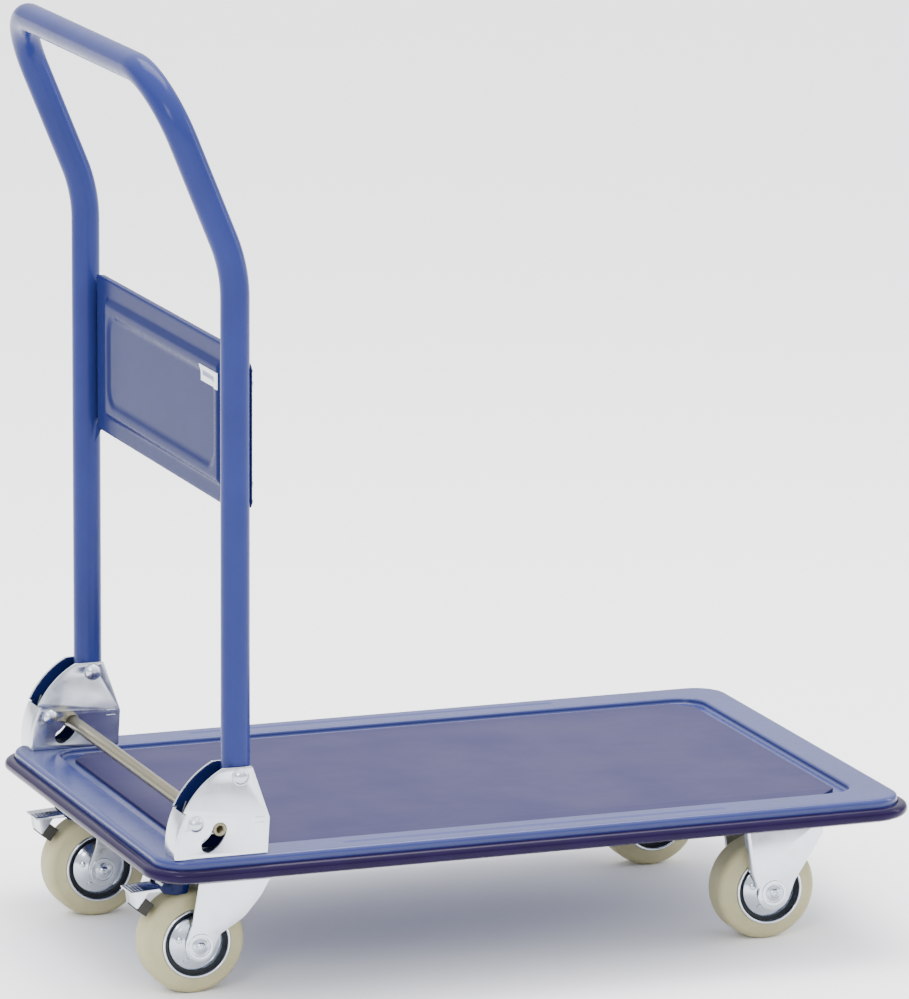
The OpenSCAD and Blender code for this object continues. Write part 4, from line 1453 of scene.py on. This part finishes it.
class CART_OT_brakes(BuildStep, bpy.types.Operator):
    """Foot brakes: enamelled housing, pedal and rubber shoe on each swivel caster"""
    bl_idname = "cart.brakes"
    bl_label = "Brakes"

    def build(self, sizes):
        for side in SIDES:
            wheel = middle(f"tyre_rear_{side}")
            at = move(*wheel)
            top = box_mm(f"brake_housing_{side}")[1].z - wheel.z
            pin = (-26, 55)
            ear = softened([(-34, 55), (-29, top), (-4, top), (-8, 48.5),
                            (-17, 47.5), (-31, 50)],
                           [3, 4, 1, 3, 6, 4], 4)
            bm = bmesh.new()
            for k in (-1, 1):
                add_plate(bm, [ear, disc(pin, 2.5, 20)], 2,
                          at @ move(y=k * 16.2) @ UPRIGHT, 0.4)
                add_turned(bm, dome_outline(8, 1.0, 0.3),
                           at @ move(pin[0], k * 17.2, pin[1]) @ spin(-90 * k, "X"), 28)
            add_plate(bm, [softened(rectangle(-28, -17.2, 6, 17.2), 1.5, 3)], 2,
                      at @ move(z=top - 1), 0.4)
            add_turned(bm, [(0, -18), (2.5, -18), (2.5, 18), (0, 18)],
                       at @ move(pin[0], 0, pin[1]) @ UPRIGHT, 24)
            finish_piece(bm, f"brake_cover_{side}", "navy stove enamel", f"swivel_{side}",
                         [f"brake_housing_{side}"], 32)

            pedal_low, pedal_high = box_mm(f"brake_pedal_{side}")
            wide = pedal_high.y - pedal_low.y
            outer = 67.0
            foot = arc((0, 0), outer, 148, 136, 1)
            plate = [(-29, 51.6), (-29, 55.4), (-63, 53.5), (-63, 51.2), (-59, 51.3),
                     foot[0], foot[1], (-45, 51.5)]
            bm = bmesh.new()
            add_plate(bm, [softened(plate, [0, 0, 1, 1, 1.5, 1, 1, 2], 3)], wide,
                      at @ UPRIGHT, 0.5)
            add_turned(bm, [(2.55, -wide / 2), (4.3, -wide / 2), (4.5, -wide / 2 + 0.3),
                            (4.5, wide / 2 - 0.3), (4.3, wide / 2), (2.55, wide / 2)],
                       at @ move(pin[0], 0, pin[1]) @ UPRIGHT, 28)
            for i in range(4):
                x = -60.5 + 3.2 * i
                add_plate(bm,
                          [softened(rectangle(x, 53.0, x + 1.4, 54.6), 0.5, 2)], wide - 6,
                          at @ move(z=0.12 * i - 0.3) @ UPRIGHT, 0.3)
            finish_piece(bm, f"foot_pedal_{side}", "zinc plated sheet", f"brake_{side}",
                         [f"brake_pedal_{side}"], 32)

            shoe = arc((0, 0), 55.6, 135, 149, 8) + arc((0, 0), 66.6, 148, 136, 6)
            bm = bmesh.new()
            add_plate(bm, [softened(shoe, 0.0, 2)], wide - 0.4, at @ UPRIGHT, 0.8)
            finish_piece(bm, f"rubber_shoe_{side}", "brake shoe rubber", f"brake_{side}",
                         [f"brake_shoe_{side}"], 32)


# ---------- stage ----------


class CART_OT_stage(BuildStep, bpy.types.Operator):
    """Pale floor, soft studio light and the camera"""
    bl_idname = "cart.stage"
    bl_label = "Stage"

    def build(self, sizes):
        scene = bpy.context.scene
        bm = bmesh.new()
        bmesh.ops.create_grid(bm, x_segments=1, y_segments=1, size=40)
        mesh = bpy.data.meshes.new("floor")
        bm.to_mesh(mesh)
        bm.free()
        mesh.materials.append(finish("studio paper"))
        floor = placed("floor", mesh)

        world = bpy.data.worlds.new("studio")
        world.use_nodes = True
        tree = world.node_tree
        tree.nodes.clear()
        up = add_node(tree, "ShaderNodeSeparateXYZ", {
            "Vector": add_node(tree,
                               "ShaderNodeTexCoord").outputs["Generated"]}).outputs["Z"]
        low = spread(tree, up, 1.2, 1.4, 0.0, 0.25)
        high = spread(tree, up, 0.0, 2.0, 0.25, 0.8)
        level = add_node(tree, "ShaderNodeMath", {0: low, 1: high},
                         operation="ADD").outputs[0]
        sky = add_node(tree, "ShaderNodeBackground", {"Color": linear("#FAFBFF"),
                                                      "Strength": level})
        add_node(tree, "ShaderNodeOutputWorld", {"Surface": sky.outputs[0]})
        scene.world = world

        for name, place, size, power, shape in (
            ("overhead softbox", (0.3, 0.6, 3.2), (2.5, 1.5), 120, "RECTANGLE"),
            ("front softbox", (-2.6, -3.4, 2.4), (1.2, 1.2), 60, "RECTANGLE"),
            ("side softbox", (3.4, -0.6, 1.5), (0.8, 2.0), 30, "RECTANGLE"),
        ):
            light = bpy.data.lights.new(name, "AREA")
            light.shape, light.size, light.size_y, light.energy = shape, *size, power
            lamp = placed(name, light)
            lamp.location = place
            aim = Vector((0, 0, 0.3)) - Vector(place)
            lamp.rotation_euler = aim.to_track_quat("-Z", "Y").to_euler()

        turn, rise, roll = (math.radians(a) for a in (-20.617, 12.097, 0.303))
        back = Vector((math.sin(turn) * math.cos(rise), -math.cos(turn) * math.cos(rise),
                       math.sin(rise)))
        right = Vector((math.cos(turn), math.sin(turn), 0))
        up = back.cross(right)
        across = right * math.cos(roll) + up * math.sin(roll)
        upward = up * math.cos(roll) - right * math.sin(roll)
        data = bpy.data.cameras.new("camera")
        data.lens, data.sensor_width = 277.08, 36.0
        data.clip_start, data.clip_end = 0.1, 200
        data.dof.use_dof = False
        camera = placed("camera", data)
        pose = Matrix((across, upward, back)).transposed().to_4x4()
        camera.matrix_world = move(-2.5486, -6.7781, 1.9720) @ pose
        scene.camera = camera


class CART_PT_panel(bpy.types.Panel):
    """Sidebar list of the cart's sizes, colours and build steps"""
    bl_idname = "CART_PT_panel"
    bl_label = "Platform Cart"
    bl_space_type = "VIEW_3D"
    bl_region_type = "UI"
    bl_category = "Cart"

    def draw(self, context):
        layout = self.layout
        for title, group in (("Sizes", context.scene.cart_sizes),
                             ("Colours", context.scene.cart_colours)):
            box = layout.box()
            box.label(text=title)
            for key in type(group).__annotations__:
                box.prop(group, key)
        box = layout.box()
        box.label(text="Build")
        for step in BUILD_STEPS:
            box.operator(step.bl_idname)


BUILD_STEPS = (
    CART_OT_stage, CART_OT_pan, CART_OT_mat, CART_OT_bumper, CART_OT_channels,
    CART_OT_brackets, CART_OT_bracket_bolts, CART_OT_springs, CART_OT_release,
    CART_OT_handle, CART_OT_panel, CART_OT_swivel_plates, CART_OT_swivel_forks,
    CART_OT_fixed_forks, CART_OT_wheels, CART_OT_brakes,
)
CLASSES = (CartSizes, CartColours, *BUILD_STEPS, CART_PT_panel)


def register():
    for cls in CLASSES:
        bpy.utils.register_class(cls)
    bpy.types.Scene.cart_sizes = bpy.props.PointerProperty(type=CartSizes)
    bpy.types.Scene.cart_colours = bpy.props.PointerProperty(type=CartColours)


def unregister():
    del bpy.types.Scene.cart_colours
    del bpy.types.Scene.cart_sizes
    for cls in reversed(CLASSES):
        bpy.utils.unregister_class(cls)


def main():
    """Builds every piece."""
    register()
    for step in BUILD_STEPS:
        group, action = step.bl_idname.split(".")
        getattr(getattr(bpy.ops, group), action)()


if __name__ == "__main__":
    main()
